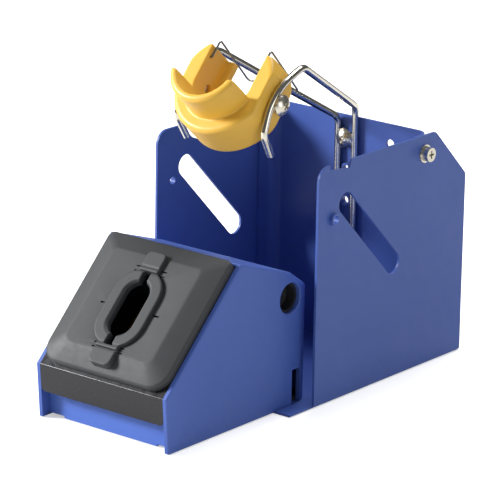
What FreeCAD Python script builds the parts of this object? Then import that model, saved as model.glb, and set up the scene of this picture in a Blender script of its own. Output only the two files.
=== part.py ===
"""Soldering iron station: a motor-driven tip cleaner in front of a sheet-metal iron holder.

Every sub-part is an object of one parametric document.  Lengths are in millimetres.
The station frame has +X to the right, +Y to the back and +Z up.  Its origin is the middle
of the footprint, on the table.  Three working frames are used and each sub-part's Placement
carries its frame:
  bench  x right, y back from the cleaner's front foot line, z up
  slope  x right, y up the cleaner's slope from the fold, z out of the slope
  drive  x right, y into the cleaner at right angles to the slope, z up the slope
"""
import FreeCAD, Part
import Sketcher
import math
import os

from FreeCAD import Rotation, Vector
from FreeCAD import Placement as Place

os.makedirs("parts", exist_ok=True)
doc = FreeCAD.newDocument("Station")
sheet = doc.addObject("Spreadsheet::Sheet", "Sizes")


# ---------------------------------------------------------------- named sizes
class Size:
    """A number that also knows the spreadsheet formula it comes from."""

    def __init__(self, value, formula):
        self.value = float(value)
        self.formula = formula

    def __add__(self, other):
        return Size(self.value + number(other), f"({self.formula} + {formula(other)})")

    def __radd__(self, other):
        return Size(number(other) + self.value, f"({formula(other)} + {self.formula})")

    def __sub__(self, other):
        return Size(self.value - number(other), f"({self.formula} - {formula(other)})")

    def __rsub__(self, other):
        return Size(number(other) - self.value, f"({formula(other)} - {self.formula})")

    def __mul__(self, other):
        return Size(self.value * number(other), f"({self.formula} * {formula(other)})")

    def __rmul__(self, other):
        return Size(number(other) * self.value, f"({formula(other)} * {self.formula})")

    def __truediv__(self, other):
        return Size(self.value / number(other), f"({self.formula} / {formula(other)})")

    def __neg__(self):
        return Size(-self.value, f"(0 - {self.formula})")


def number(item):
    return item.value if isinstance(item, Size) else float(item)


def formula(item):
    return item.formula if isinstance(item, Size) else repr(float(item))


def sine(angle):
    return Size(math.sin(math.radians(number(angle))), f"sin({formula(angle)} * 1 deg)")


def cosine(angle):
    return Size(math.cos(math.radians(number(angle))), f"cos({formula(angle)} * 1 deg)")


def root(item):
    return Size(math.sqrt(number(item)), f"sqrt({formula(item)})")


SIZE_ROWS = []


def size(alias, value, note):
    """Put one driving dimension into the sheet and hand back its Size."""
    row = len(SIZE_ROWS) + 1
    SIZE_ROWS.append(alias)
    sheet.set(f"A{row}", alias)
    sheet.set(f"B{row}", str(value))
    sheet.set(f"C{row}", note)
    sheet.setAlias(f"B{row}", alias)
    return Size(value, f"Sizes.{alias}")


# clearances
clear_fit = size("clear_fit", 0.02, "radial gap of a seated round piece")
clear_run = size("clear_run", 0.05, "radial gap of a turning shaft or pin")
clear_face = size("clear_face", 0.1, "gap between faces that are fastened together")
clear_slip = size("clear_slip", 0.3, "gap between pieces that move past each other")

# cleaner case
case_width = size("case_width", 80, "outside width of the cleaner")
case_wall = size("case_wall", 2.4, "moulded wall of the case")
foot_gap = size("foot_gap", 0.5, "height of the case's lower edge over the table")
front_lean = size("front_lean", 2, "how far the front edges lean forward at the fold")
fold_height = size("fold_height", 27.2, "height of the fold over the table")
slope_angle = size("slope_angle", 45, "slope of the cover, degrees")
slope_length = size("slope_length", 74.2, "fold to ridge, along the slope")
top_run = size("top_run", 37, "ridge to the start of the rear fall, along y")
top_fall = size("top_fall", 12.3, "drop over that run")
rear_run = size("rear_run", 17.5, "run of the steeper rear fall")
rear_fall = size("rear_fall", 12.2, "drop over that run")
rear_round = size("rear_round", 10, "rounding of the rear vertical corners")
edge_round = size("edge_round", 0.8, "rounding of the case's outer edges")
port_radius = size("port_radius", 7.5, "round opening in the right wall")
port_y = size("port_y", 87.7, "port centre, from the front")
port_height = size("port_height", 54.5, "port centre, over the table")
notch_start = size("notch_start", 90, "front edge of the lead notch")
notch_width = size("notch_width", 6.3, "lead notch width")
notch_height = size("notch_height", 18.3, "lead notch top, over the table")
ledge_width = size("ledge_width", 3, "ledges that carry the folded plate")
ledge_start = size("ledge_start", 2.4, "front end of the ledges, from the front")
ledge_thick = size("ledge_thick", 3, "ledge thickness")
boss_radius = size("boss_radius", 3.6, "screw bosses inside the case")
boss_inset = size("boss_inset", 5.5, "boss centre, in from the outer wall")
boss_front = size("boss_front", 14, "front bosses, from the front")
boss_back = size("boss_back", 70, "rear bosses, from the front")
boss_top = size("boss_top", 16, "height of the bosses")

# cleaner floor, front panel and folded plate
floor_thick = size("floor_thick", 2, "floor plate thickness")
foot_radius = size("foot_radius", 5, "rubber foot")
foot_side = size("foot_side", 25.6, "feet, from the middle")
foot_front = size("foot_front", 18, "front feet, from the front")
foot_back = size("foot_back", 68, "rear feet, from the front")
floor_head_radius = size("floor_head_radius", 2.6, "floor screw head")
floor_head_low = size("floor_head_low", 0.2, "floor screw heads over the table")
floor_screw_length = size("floor_screw_length", 11, "floor screw length")
panel_recess = size("panel_recess", 5, "front panel, behind the wall edges")
panel_thick = size("panel_thick", 2, "front panel thickness")
panel_top = size("panel_top", 24, "front panel top, over the table")
panel_step = size("panel_step", 1, "relief at the ends of the panel's lower edge")
panel_step_width = size("panel_step_width", 9, "width of that relief")
plate_thick = size("plate_thick", 1, "folded plate sheet")
plate_drop = size("plate_drop", 13.4, "front drop of the folded plate")
plate_corner = size("plate_corner", 2.5, "lower corner rounding of the drop")

# rubber cover and its lip, in the slope frame
cover_side = size("cover_side", 2.8, "cover edge, in from the case's outside")
cover_start = size("cover_start", 2, "cover's lower edge, up from the fold")
cover_end = size("cover_end", 0.8, "cover's upper edge, below the ridge")
cover_edge = size("cover_edge", 3.6, "thickness of the cover's rim")
cover_height = size("cover_height", 7, "plateau over the plate")
cover_bevel_side = size("cover_bevel_side", 10.3, "bevel width at the sides")
cover_bevel_low = size("cover_bevel_low", 10, "bevel width at the lower end")
cover_bevel_high = size("cover_bevel_high", 9.2, "bevel width at the upper end")
cover_skin = size("cover_skin", 2.4, "rubber wall")
cover_corner_low = size("cover_corner_low", 9.5, "lower corner radius")
cover_corner_high = size("cover_corner_high", 3, "upper corner radius")
mouth_centre = size("mouth_centre", 35.5, "middle of the mouth, up the slope")
mouth_width = size("mouth_width", 14, "mouth across the slope")
mouth_length = size("mouth_length", 29, "mouth along the slope")
neck_width = size("neck_width", 4.5, "narrow ends of the mouth")
neck_length = size("neck_length", 5, "their length")
lip_width = size("lip_width", 6.5, "ring around the mouth")
lip_rise = size("lip_rise", 2, "lip over the plateau")
tab_reach = size("tab_reach", 9.6, "tabs, beyond the ring's ends")
tab_low_half = size("tab_low_half", 6.4, "half width of the lower tab")
tab_high_half = size("tab_high_half", 5.4, "half width of the upper tab")
tab_root = size("tab_root", 3, "tabs' overlap into the ring")

# brush drive, in the drive frame
brush_depth = size("brush_depth", 20, "brush axis, below the slope")
brush_spacing = size("brush_spacing", 16, "between the brush axes")
brush_gap = size("brush_gap", 0.6, "gap between the two brushes")
shaft_radius = size("shaft_radius", 2, "brush shafts")
core_radius = size("core_radius", 4.5, "brush cores")
chamber_low = size("chamber_low", 17, "lower end of the chamber, along the slope")
chamber_high = size("chamber_high", 54, "upper end of the chamber")
chamber_top = size("chamber_top", 3, "chamber mouth, below the slope")
chamber_wall = size("chamber_wall", 2, "chamber wall")
bush_radius = size("bush_radius", 3.5, "bush body")
bush_flange = size("bush_flange", 5, "bush flange")
flange_thick = size("flange_thick", 0.8, "bush flange thickness")
gear_plate_thick = size("gear_plate_thick", 1.2, "steel plate behind the chamber")
gear_width = size("gear_width", 4, "face width of the brush gears")
idler_width = size("idler_width", 3, "face width of the large idler gear")
gear_gap = size("gear_gap", 0.5, "gap between gears one above the other")
idler_axle_radius = size("idler_axle_radius", 1.5, "idler pin")
motor_radius = size("motor_radius", 10, "motor can")
motor_flat = size("motor_flat", 15.4, "across the flats of the can")
motor_length = size("motor_length", 26, "motor can length")
motor_boss = size("motor_boss", 3, "motor nose radius")
motor_shaft_radius = size("motor_shaft_radius", 1, "motor shaft")

# tray, board and power inlet, in the bench frame
tray_front = size("tray_front", 8.5, "debris tray front")
tray_depth = size("tray_depth", 22, "debris tray, front to back")
tray_half = size("tray_half", 27, "half width of the tray")
tray_height = size("tray_height", 12, "tray wall height")
tray_wall = size("tray_wall", 1.2, "tray wall")
board_front = size("board_front", 64, "control board front edge")
board_depth = size("board_depth", 34, "control board, front to back")
board_width = size("board_width", 44, "control board width")
board_height = size("board_height", 9, "board underside over the table")
board_thick = size("board_thick", 1.6, "control board")
spacer_radius = size("spacer_radius", 2.5, "board spacers")
spacer_inset = size("spacer_inset", 4, "spacers, in from the board's corners")
inlet_radius = size("inlet_radius", 7.6, "power inlet body")
inlet_dish = size("inlet_dish", 6.2, "mouth of the power inlet")
inlet_length = size("inlet_length", 16, "power inlet body")
inlet_recess = size("inlet_recess", 5, "inlet face behind the wall")
inlet_bore = size("inlet_bore", 2.8, "inlet bore")
inlet_pin = size("inlet_pin", 1, "inlet centre pin")

# holder sheet
sheet_thick = size("sheet_thick", 1.2, "holder and bracket sheet")
holder_width = size("holder_width", 100, "holder, outside")
holder_front = size("holder_front", 94.5, "front edge of the side plates")
holder_length = size("holder_length", 118, "side plates, front to back")
holder_height = size("holder_height", 118, "side plates over the table")
tongue_length = size("tongue_length", 17.5, "tongue in front of the plates")
front_corner = size("front_corner", 7, "rounding of the front top corners")
notch_dip = size("notch_dip", 4, "depth of the right plate's notch")
dip_start = size("dip_start", 8.5, "start of that notch, from the plate's front")
dip_rise = size("dip_rise", 1.6, "shallower front end of the notch")
dip_end = size("dip_end", 23.5, "end of the notch's sloping floor")
left_start = size("left_start", 17, "start of the left plate's low stretch")
left_drop = size("left_drop", 11, "depth of the left plate's low stretch")
left_knee = size("left_knee", 26, "first corner of the low stretch")
left_knee_drop = size("left_knee_drop", 7.6, "its depth")
left_low = size("left_low", 34, "start of the lowest part")
left_high = size("left_high", 52, "end of the lowest part")
left_end = size("left_end", 64, "end of the left plate's low stretch")
rear_chamfer = size("rear_chamfer", 26, "rear top chamfer")
slot_radius = size("slot_radius", 5.5, "half width of the diagonal slots")
slot_front = size("slot_front", 21.5, "slot's upper end, from the plate's front")
slot_run = size("slot_run", 38, "slot's run and drop between end centres")
slot_drop = size("slot_drop", 21, "slot's upper end, below the plates' top")
stud_front = size("stud_front", 11.6, "tapped collar, from the plate's front")
stud_drop = size("stud_drop", 26.7, "tapped collar, below the plates' top")
tap_radius = size("tap_radius", 2, "bore of a tapped collar")
collar_radius = size("collar_radius", 3, "outside of a tapped collar")
collar_length = size("collar_length", 1.8, "collar over the sheet")

# rear bracket and its fasteners
wall_inset = size("wall_inset", 30, "bracket face, in from the holder's rear")
flange_length = size("flange_length", 10.5, "bracket flanges, in front of its face")
bend_radius = size("bend_radius", 6, "inner bend of the bracket")
side_screw_back = size("side_screw_back", 34.9, "side screws, from the holder's rear")
side_screw_drop = size("side_screw_drop", 9.1, "side screws, below the plates' top")
hole_radius = size("hole_radius", 2.35, "plain hole in the bracket")
hole_side = size("hole_side", 25.6, "plain hole, from the middle")
hole_drop = size("hole_drop", 10, "plain hole, below the bracket's top")
clamp_drop = size("clamp_drop", 11, "top clamp hole, below the bracket's top")
clamp_pitch = size("clamp_pitch", 16, "between the clamp holes")
pan_head_radius = size("pan_head_radius", 3.5, "side screw head")
pan_head_height = size("pan_head_height", 2.4, "side screw head")
washer_radius = size("washer_radius", 4.5, "side screw flat washer")
washer_thick = size("washer_thick", 0.8, "flat washer")
spring_radius = size("spring_radius", 3.6, "side screw spring washer")
spring_thick = size("spring_thick", 1, "spring washer")
recess_depth = size("recess_depth", 1.3, "driver recess")
recess_width = size("recess_width", 0.95, "driver recess, each blade")
recess_span = size("recess_span", 3.8, "driver recess, across")
truss_radius = size("truss_radius", 5.1, "truss screw head")
truss_height = size("truss_height", 2.4, "truss screw head")
foot_flange = size("foot_flange", 11, "bracket's foot flange")
base_screw_radius = size("base_screw_radius", 1.5, "countersunk screws")
base_head_radius = size("base_head_radius", 2.5, "countersunk heads")
base_screw_length = size("base_screw_length", 7, "countersunk screw length")
base_screw_side = size("base_screw_side", 25, "countersunk screws, from the middle")
tongue_screw_y = size("tongue_screw_y", 90, "screws into the cleaner, from the front")

# wire arms
wire_radius = size("wire_radius", 1.75, "wire of the arms")
post_side = size("post_side", 5.2, "arm posts, from the middle")
post_length = size("post_length", 50, "lower end of the posts, below the top clamp hole")
arm_side = size("arm_side", 26.4, "arms beside the receptacle, from the middle")
hook_side = size("hook_side", 0.8, "arm ends, in from the arm's side")
hook_front = size("hook_front", 4, "arm ends, in front of the tilt axis")
hook_drop = size("hook_drop", 23.9, "arm ends, below the tilt axis")
knee_front = size("knee_front", 10.6, "lower bends, in front of the tilt axis")
knee_drop = size("knee_drop", 12.6, "lower bends, below the tilt axis")
brow_front = size("brow_front", 4.2, "long bends, in front of the tilt axis")
brow_rise = size("brow_rise", 6.4, "long bends, over the tilt axis")
peak_back = size("peak_back", 17.9, "upper bends, behind the tilt axis")
peak_rise = size("peak_rise", 14.9, "upper bends, over the tilt axis")
left_post_rise = size("left_post_rise", 9.5, "left post's bend over the clamp screw")
right_post_rise = size("right_post_rise", 17, "right post's bend over the clamp screw")
knee_bend = size("knee_bend", 5.5, "centreline radius of the lower bends")
brow_bend = size("brow_bend", 28, "centreline radius of the long bends")
peak_bend = size("peak_bend", 8, "centreline radius of the upper bends")
post_bend = size("post_bend", 6, "centreline radius at the top of the posts")

# iron receptacle, in its own frame: y along the iron towards its tip, z out of the open top
tilt_y = size("tilt_y", 92.6, "tilt axis, from the front")
tilt_rise = size("tilt_rise", 27.3, "tilt axis over the side plates")
tilt_angle = size("tilt_angle", 41.6, "slope of the iron at rest, degrees")
ring_radius = size("ring_radius", 26.8, "outside of the ring")
ring_front = size("ring_front", 11.8, "ring in front of the tilt axis")
ring_back = size("ring_back", 8.4, "ring behind the tilt axis")
ring_top = size("ring_top", 18.4, "open top over the tilt axis")
bore_radius = size("bore_radius", 16.2, "channel for the iron")
nose_radius = size("nose_radius", 12.5, "narrow end of the channel")
nose_length = size("nose_length", 4, "its length")
scoop_radius = size("scoop_radius", 19.9, "outside of the front scoop")
scoop_front = size("scoop_front", 28.4, "scoop in front of the tilt axis")
scoop_top = size("scoop_top", 5, "scoop's edge below the tilt axis")
rim_round = size("rim_round", 2.4, "rounding of the receptacle's outer rims")
horn_hole_front = size("horn_hole_front", 9.1, "bail holes in front of the tilt axis")
horn_hole_top = size("horn_hole_top", 12.5, "bail holes over the tilt axis")

# rest bail, in the receptacle's frame
bail_radius = size("bail_radius", 0.5, "bail wire")
bail_top = size("bail_top", 22.1, "bail's upper bend over the tilt axis")
bail_gap = size("bail_gap", 0.9, "bail legs, in from the channel's wall")
bail_rise = size("bail_rise", 0.4, "cross bar over the ring's top")
bail_back = size("bail_back", 22.4, "bail's cross bar behind the tilt axis")

doc.recompute()

# sizes that follow from the ones above
mid_y = (holder_front + holder_length - front_lean) / 2
ridge_y = slope_length * cosine(slope_angle) - front_lean
ridge_height = fold_height + slope_length * sine(slope_angle)
rear_top_y = ridge_y + top_run
rear_top_height = ridge_height - top_fall
rear_y = rear_top_y + rear_run
rear_height = rear_top_height - rear_fall
inner_half = case_width / 2 - case_wall
bracket_y = holder_front + holder_length - wall_inset
holder_back = holder_front + holder_length
plate_inner = holder_width / 2 - sheet_thick
bracket_half = plate_inner - clear_face
side_screw_height = holder_height - side_screw_drop
hole_height = holder_height - hole_drop
clamp_height = holder_height - clamp_drop
slot_top = holder_height - slot_drop
stud_height = holder_height - stud_drop
post_low = clamp_height - post_length
tilt_height = holder_height + tilt_rise
floor_height = sheet_thick + clear_face
brush_radius = (brush_spacing - brush_gap) / 2
chamber_half = brush_spacing + chamber_wall
chamber_floor = brush_depth + brush_radius + clear_slip + chamber_wall
gear_plate_low = chamber_high + clear_face
gear_plate_high = gear_plate_low + gear_plate_thick
brush_gear_low = gear_plate_high + gear_gap * 2
idler_low = brush_gear_low + gear_width + gear_gap
flat_side = arm_side - wire_radius - clear_slip
washer_inner = arm_side + wire_radius + clear_face

BRUSH_TEETH, IDLER_TEETH, SMALL_TEETH = 16, 24, 8
# tooth shape, in modules from the pitch circle, and each space's half width in half pitches
TOOTH_ADDENDUM, TOOTH_DEDENDUM, TOOTH_OPEN = 0.85, 1.15, 1.25
ROOT_SHARE, OPEN_SHARE = 0.36, 0.82
module = brush_spacing / BRUSH_TEETH
idler_depth = brush_depth + module * ((BRUSH_TEETH + SMALL_TEETH) / 2)
motor_reach = module * ((IDLER_TEETH + SMALL_TEETH) / 2)
motor_depth = idler_depth + root(motor_reach * motor_reach - brush_spacing * brush_spacing / 4)

PARTS = {}


def keep(obj, label, frame):
    """Name a finished sub-part and put it into its frame."""
    obj.Label = label
    base_x, base_y, base_z, angle = frame
    obj.setExpression(
        "Placement",
        f"create(<<placement>>; create(<<vector>>; {formula(base_x)}; {formula(base_y)}; "
        f"{formula(base_z)}); create(<<rotation>>; create(<<vector>>; 1; 0; 0); {formula(angle)}))",
    )
    PARTS[label] = obj
    return obj


BENCH = (0, -mid_y, 0, 0)
SLOPE = (0, -front_lean - mid_y, fold_height, slope_angle)
DRIVE = (0, -front_lean - mid_y, fold_height, slope_angle - 90)
IRON = (0, tilt_y - mid_y, tilt_height, -tilt_angle)


# ---------------------------------------------------------------- drawing helpers
def bind(obj, prop, value):
    obj.setExpression(prop, formula(value))


def new_body(name):
    return doc.addObject("PartDesign::Body", name)


def new_sketch(body, role, name, offset=0):
    """A sketch on one of the body's own origin planes, lifted along the plane's normal."""
    plane = next(item for item in body.Origin.OriginFeatures if item.Role == role)
    sketch = body.newObject("Sketcher::SketchObject", name)
    sketch.AttachmentSupport = [(plane, "")]
    sketch.MapMode = "FlatFace"
    bind(sketch, "AttachmentOffset.Base.z", offset)
    return sketch


def fix(sketch, kind, *args):
    """Add a dimension whose value follows a Size."""
    *where, value = args
    plain = number(value)
    index = sketch.addConstraint(Sketcher.Constraint(kind, *where, plain))
    if isinstance(value, Size):
        sketch.setExpression(f"Constraints[{index}]", value.formula)


def pin_point(sketch, geo, pos, x, y):
    """Tie one point to the sketch's origin."""
    if not isinstance(x, Size) and x == 0:
        sketch.addConstraint(Sketcher.Constraint("PointOnObject", geo, pos, -2))
    else:
        fix(sketch, "DistanceX", -1, 1, geo, pos, x)
    if not isinstance(y, Size) and y == 0:
        sketch.addConstraint(Sketcher.Constraint("PointOnObject", geo, pos, -1))
    else:
        fix(sketch, "DistanceY", -1, 1, geo, pos, y)


def polygon(sketch, points):
    """A closed outline whose corners are all dimensioned from the origin."""
    spots = [Vector(number(x), number(y), 0) for x, y in points]
    first = sketch.GeometryCount
    count = len(spots)
    for i in range(count):
        sketch.addGeometry(Part.LineSegment(spots[i], spots[(i + 1) % count]), False)
    for i in range(count):
        sketch.addConstraint(
            Sketcher.Constraint("Coincident", first + i, 2, first + (i + 1) % count, 1))
    for i, (x, y) in enumerate(points):
        pin_point(sketch, first + i, 1, x, y)


def rectangle(sketch, x_low, y_low, x_high, y_high):
    polygon(sketch, [(x_low, y_low), (x_high, y_low), (x_high, y_high), (x_low, y_high)])


def circle(sketch, x, y, radius):
    geo = sketch.addGeometry(
        Part.Circle(Vector(number(x), number(y), 0), Vector(0, 0, 1), number(radius)), False)
    pin_point(sketch, geo, 3, x, y)
    fix(sketch, "Radius", geo, radius)


def slot(sketch, x_a, y_a, x_b, y_b, radius):
    """A round-ended slot between two end centres."""
    a = Vector(number(x_a), number(y_a), 0)
    b = Vector(number(x_b), number(y_b), 0)
    reach = number(radius)
    along = (b - a).normalize()
    side = Vector(-along.y, along.x, 0) * reach
    angle = math.atan2(along.y, along.x)
    up = Vector(0, 0, 1)
    end_a = sketch.addGeometry(Part.ArcOfCircle(
        Part.Circle(a, up, reach), angle + math.pi / 2, angle + 3 * math.pi / 2), False)
    low = sketch.addGeometry(Part.LineSegment(a - side, b - side), False)
    end_b = sketch.addGeometry(Part.ArcOfCircle(
        Part.Circle(b, up, reach), angle - math.pi / 2, angle + math.pi / 2), False)
    high = sketch.addGeometry(Part.LineSegment(b + side, a + side), False)
    for one, one_end, two, two_end in ((end_a, 2, low, 1), (low, 2, end_b, 1),
                                       (end_b, 2, high, 1), (high, 2, end_a, 1)):
        sketch.addConstraint(Sketcher.Constraint("Tangent", one, one_end, two, two_end))
    pin_point(sketch, end_a, 3, x_a, y_a)
    pin_point(sketch, end_b, 3, x_b, y_b)
    fix(sketch, "Radius", end_a, radius)


def rounded_box(sketch, x_low, y_low, x_high, y_high, low_radius, high_radius):
    """A rectangle with two lower and two upper corner radii."""
    xl, yl, xh, yh = (number(v) for v in (x_low, y_low, x_high, y_high))
    rl, rh = number(low_radius), number(high_radius)
    up = Vector(0, 0, 1)
    corners = [(xl + rl, yl + rl, rl, math.pi, 1.5 * math.pi, low_radius),
               (xh - rl, yl + rl, rl, 1.5 * math.pi, 2 * math.pi, low_radius),
               (xh - rh, yh - rh, rh, 0, 0.5 * math.pi, high_radius),
               (xl + rh, yh - rh, rh, 0.5 * math.pi, math.pi, high_radius)]
    arcs = [sketch.addGeometry(Part.ArcOfCircle(
        Part.Circle(Vector(x, y, 0), up, r), start, stop), False)
        for x, y, r, start, stop, _ in corners]
    ends = [(Vector(xl + rl, yl, 0), Vector(xh - rl, yl, 0)),
            (Vector(xh, yl + rl, 0), Vector(xh, yh - rh, 0)),
            (Vector(xh - rh, yh, 0), Vector(xl + rh, yh, 0)),
            (Vector(xl, yh - rh, 0), Vector(xl, yl + rl, 0))]
    lines = [sketch.addGeometry(Part.LineSegment(a, b), False) for a, b in ends]
    for i in range(4):
        sketch.addConstraint(Sketcher.Constraint("Tangent", arcs[i], 2, lines[i], 1))
        sketch.addConstraint(Sketcher.Constraint("Tangent", lines[i], 2, arcs[(i + 1) % 4], 1))
        kind = "Horizontal" if i % 2 == 0 else "Vertical"
        sketch.addConstraint(Sketcher.Constraint(kind, lines[i]))
        fix(sketch, "Radius", arcs[i], corners[i][5])
    fix(sketch, "DistanceY", -1, 1, lines[0], 1, y_low)
    fix(sketch, "DistanceX", -1, 1, lines[1], 1, x_high)
    fix(sketch, "DistanceY", -1, 1, lines[2], 1, y_high)
    fix(sketch, "DistanceX", -1, 1, lines[3], 1, x_low)


def extrude(body, kind, sketch, length, middle=False, back=False):
    """Pad or pocket a sketch, along its normal unless back is set."""
    feature = body.newObject(f"PartDesign::{kind}", f"{kind}_{sketch.Name}")
    feature.Profile = sketch
    bind(feature, "Length", length)
    feature.Midplane = middle
    feature.Reversed = back
    sketch.Visibility = False
    return feature


def pad(body, sketch, length, middle=False, back=False):
    return extrude(body, "Pad", sketch, length, middle, back)


def pocket(body, sketch, length, middle=False, back=False):
    """A pocket.  Its change of volume is checked, because a cut into air shows no error."""
    doc.recompute()
    before = body.Shape.Volume
    feature = extrude(body, "Pocket", sketch, length, middle, back)
    doc.recompute()
    if not body.Shape.Volume < before - 1e-3:
        raise RuntimeError(f"{feature.Name} cuts nothing")
    return feature


def edges_where(shape, test):
    """Names of the edges whose two ends and middle satisfy a test on (point, direction)."""
    names = []
    for i, edge in enumerate(shape.Edges, start=1):
        middle = edge.valueAt((edge.FirstParameter + edge.LastParameter) / 2)
        along = edge.tangentAt((edge.FirstParameter + edge.LastParameter) / 2)
        if test(middle, along, edge):
            names.append(f"Edge{i}")
    return names


def round_edges(body, radius, test, kind="Fillet"):
    """Fillet or chamfer the chosen edges of the body's tip."""
    doc.recompute()
    tip = body.Tip
    names = edges_where(tip.Shape, test)
    if not names:
        raise RuntimeError(f"{body.Name}: no edges to round")
    feature = body.newObject(f"PartDesign::{kind}", f"{kind}_{body.Name}_{len(body.Group)}")
    feature.Base = (tip, names)
    bind(feature, "Radius" if kind == "Fillet" else "Size", radius)
    doc.recompute()
    return feature


def mirror(body, features, role):
    """Repeat features on the other side of one of the body's origin planes."""
    plane = next(item for item in body.Origin.OriginFeatures if item.Role == role)
    copy = body.newObject("PartDesign::Mirrored", f"Mirrored_{features[0].Name}")
    copy.Originals = features
    copy.MirrorPlane = (plane, [""])
    body.Tip = copy
    return copy


def close_to(a, b, gap=0.05):
    return abs(a - number(b)) < gap


def bar(name, radius, length, x, y, z, axis="z"):
    """A Part cylinder from (x, y, z) along one axis of its frame."""
    solid = doc.addObject("Part::Cylinder", name)
    turn = {"z": Rotation(), "x": Rotation(Vector(0, 1, 0), 90), "y": Rotation(Vector(1, 0, 0), -90)}
    solid.Placement = Place(Vector(), turn[axis])
    bind(solid, "Radius", radius)
    bind(solid, "Height", length)
    for key, value in (("x", x), ("y", y), ("z", z)):
        bind(solid, f"Placement.Base.{key}", value)
    return solid


def block(name, x, y, z, dx, dy, dz):
    """A Part box from its low corner."""
    solid = doc.addObject("Part::Box", name)
    for prop, value in (("Length", dx), ("Width", dy), ("Height", dz),
                        ("Placement.Base.x", x), ("Placement.Base.y", y), ("Placement.Base.z", z)):
        bind(solid, prop, value)
    return solid


def cone(name, radius_a, radius_b, length, x, y, z):
    solid = doc.addObject("Part::Cone", name)
    for prop, value in (("Radius1", radius_a), ("Radius2", radius_b), ("Height", length),
                        ("Placement.Base.x", x), ("Placement.Base.y", y), ("Placement.Base.z", z)):
        bind(solid, prop, value)
    return solid


def cut(name, base, tool):
    result = doc.addObject("Part::Cut", name)
    result.Base = base
    result.Tool = tool
    return result


def fuse(name, shapes):
    result = doc.addObject("Part::MultiFuse", name)
    result.Shapes = shapes
    return result


def group(name, shapes):
    """Several separate solids that share one node."""
    result = doc.addObject("Part::Compound", name)
    result.Links = shapes
    return result


# ---------------------------------------------------------------- cleaner: case and covers
def make_case():
    """Moulded case: two side walls, a sloping top and a rounded rear, open at the slope."""
    body = new_body("CleanerCase")
    relief_y = holder_front - tongue_length - 0.5
    side = new_sketch(body, "YZ_Plane", "CaseSide")
    polygon(side, [(0, foot_gap), (-front_lean, fold_height), (ridge_y, ridge_height),
                   (rear_top_y, rear_top_height), (rear_y, rear_height),
                   (rear_y, sheet_thick + clear_face), (relief_y, sheet_thick + clear_face),
                   (relief_y, foot_gap)])
    pad(body, side, case_width, middle=True)

    hollow = new_sketch(body, "YZ_Plane", "CaseHollow")
    lip = ridge_y - 0.8
    drop = case_wall * 1.06
    polygon(hollow, [(-10, -5), (-10, ridge_height + 10), (lip, ridge_height + 10),
                     (lip, ridge_height - drop), (rear_top_y - 0.5, rear_top_height - drop),
                     (rear_y - case_wall, rear_height - case_wall * 0.7), (rear_y - case_wall, -5)])
    pocket(body, hollow, inner_half * 2, middle=True)

    round_edges(body, rear_round, lambda p, d, e: abs(d.z) > 0.99 and close_to(p.y, rear_y)
                and close_to(abs(p.x), case_width / 2))
    round_edges(body, rear_round - case_wall, lambda p, d, e: abs(d.z) > 0.99
                and close_to(p.y, rear_y - case_wall) and close_to(abs(p.x), inner_half))

    ledge = new_sketch(body, "YZ_Plane", "CaseLedge", inner_half - ledge_width)
    low = (plate_thick + clear_face * 2) / cosine(slope_angle)
    rise = sine(slope_angle) / cosine(slope_angle)
    polygon(ledge, [(ledge_start, fold_height + (ledge_start + front_lean) * rise - low),
                    (ridge_y, ridge_height - low), (ridge_y, ridge_height - low - ledge_thick),
                    (ledge_start, fold_height - ledge_thick / 2)])
    rib = pad(body, ledge, ledge_width + 0.5)
    mirror(body, [rib], "YZ_Plane")

    port = new_sketch(body, "YZ_Plane", "CasePort", inner_half - 1)
    circle(port, port_y, port_height, port_radius)
    pocket(body, port, case_wall + 5, back=True)

    notch = new_sketch(body, "YZ_Plane", "CaseNotch", inner_half - 1)
    polygon(notch, [(notch_start, -5), (notch_start + notch_width, -5),
                    (notch_start + notch_width, notch_height), (notch_start, notch_height)])
    pocket(body, notch, case_wall + 5, back=True)

    bosses = new_sketch(body, "XY_Plane", "CaseBosses", floor_height + floor_thick + clear_face)
    for y in (boss_front, boss_back):
        circle(bosses, case_width / 2 - boss_inset, y, boss_radius)
    posts = pad(body, bosses, boss_top)
    mirror(body, [posts], "YZ_Plane")
    pilots = new_sketch(body, "XY_Plane", "CasePilots", floor_height)
    for y in (boss_front, boss_back):
        for sign in (-1, 1):
            circle(pilots, (case_width / 2 - boss_inset) * sign, y, base_screw_radius + clear_fit)
    pocket(body, pilots, floor_screw_length + 1, back=True)

    def outer_rim(p, d, e):
        """Outer edges of the side walls, except along the bottom and round the openings."""
        on_wall = close_to(abs(p.x), case_width / 2)
        ends = [v.Point for v in e.Vertexes]
        straight = len(ends) == 2 and all(close_to(abs(q.x), case_width / 2) for q in ends)
        return on_wall and straight and p.z > 5 and p.y < number(rear_y) - number(rear_round) \
            and (p.y < number(notch_start) - 5 or p.z > number(rear_height))

    round_edges(body, edge_round, outer_rim)
    keep(body, "cleaner_case", BENCH)


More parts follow.
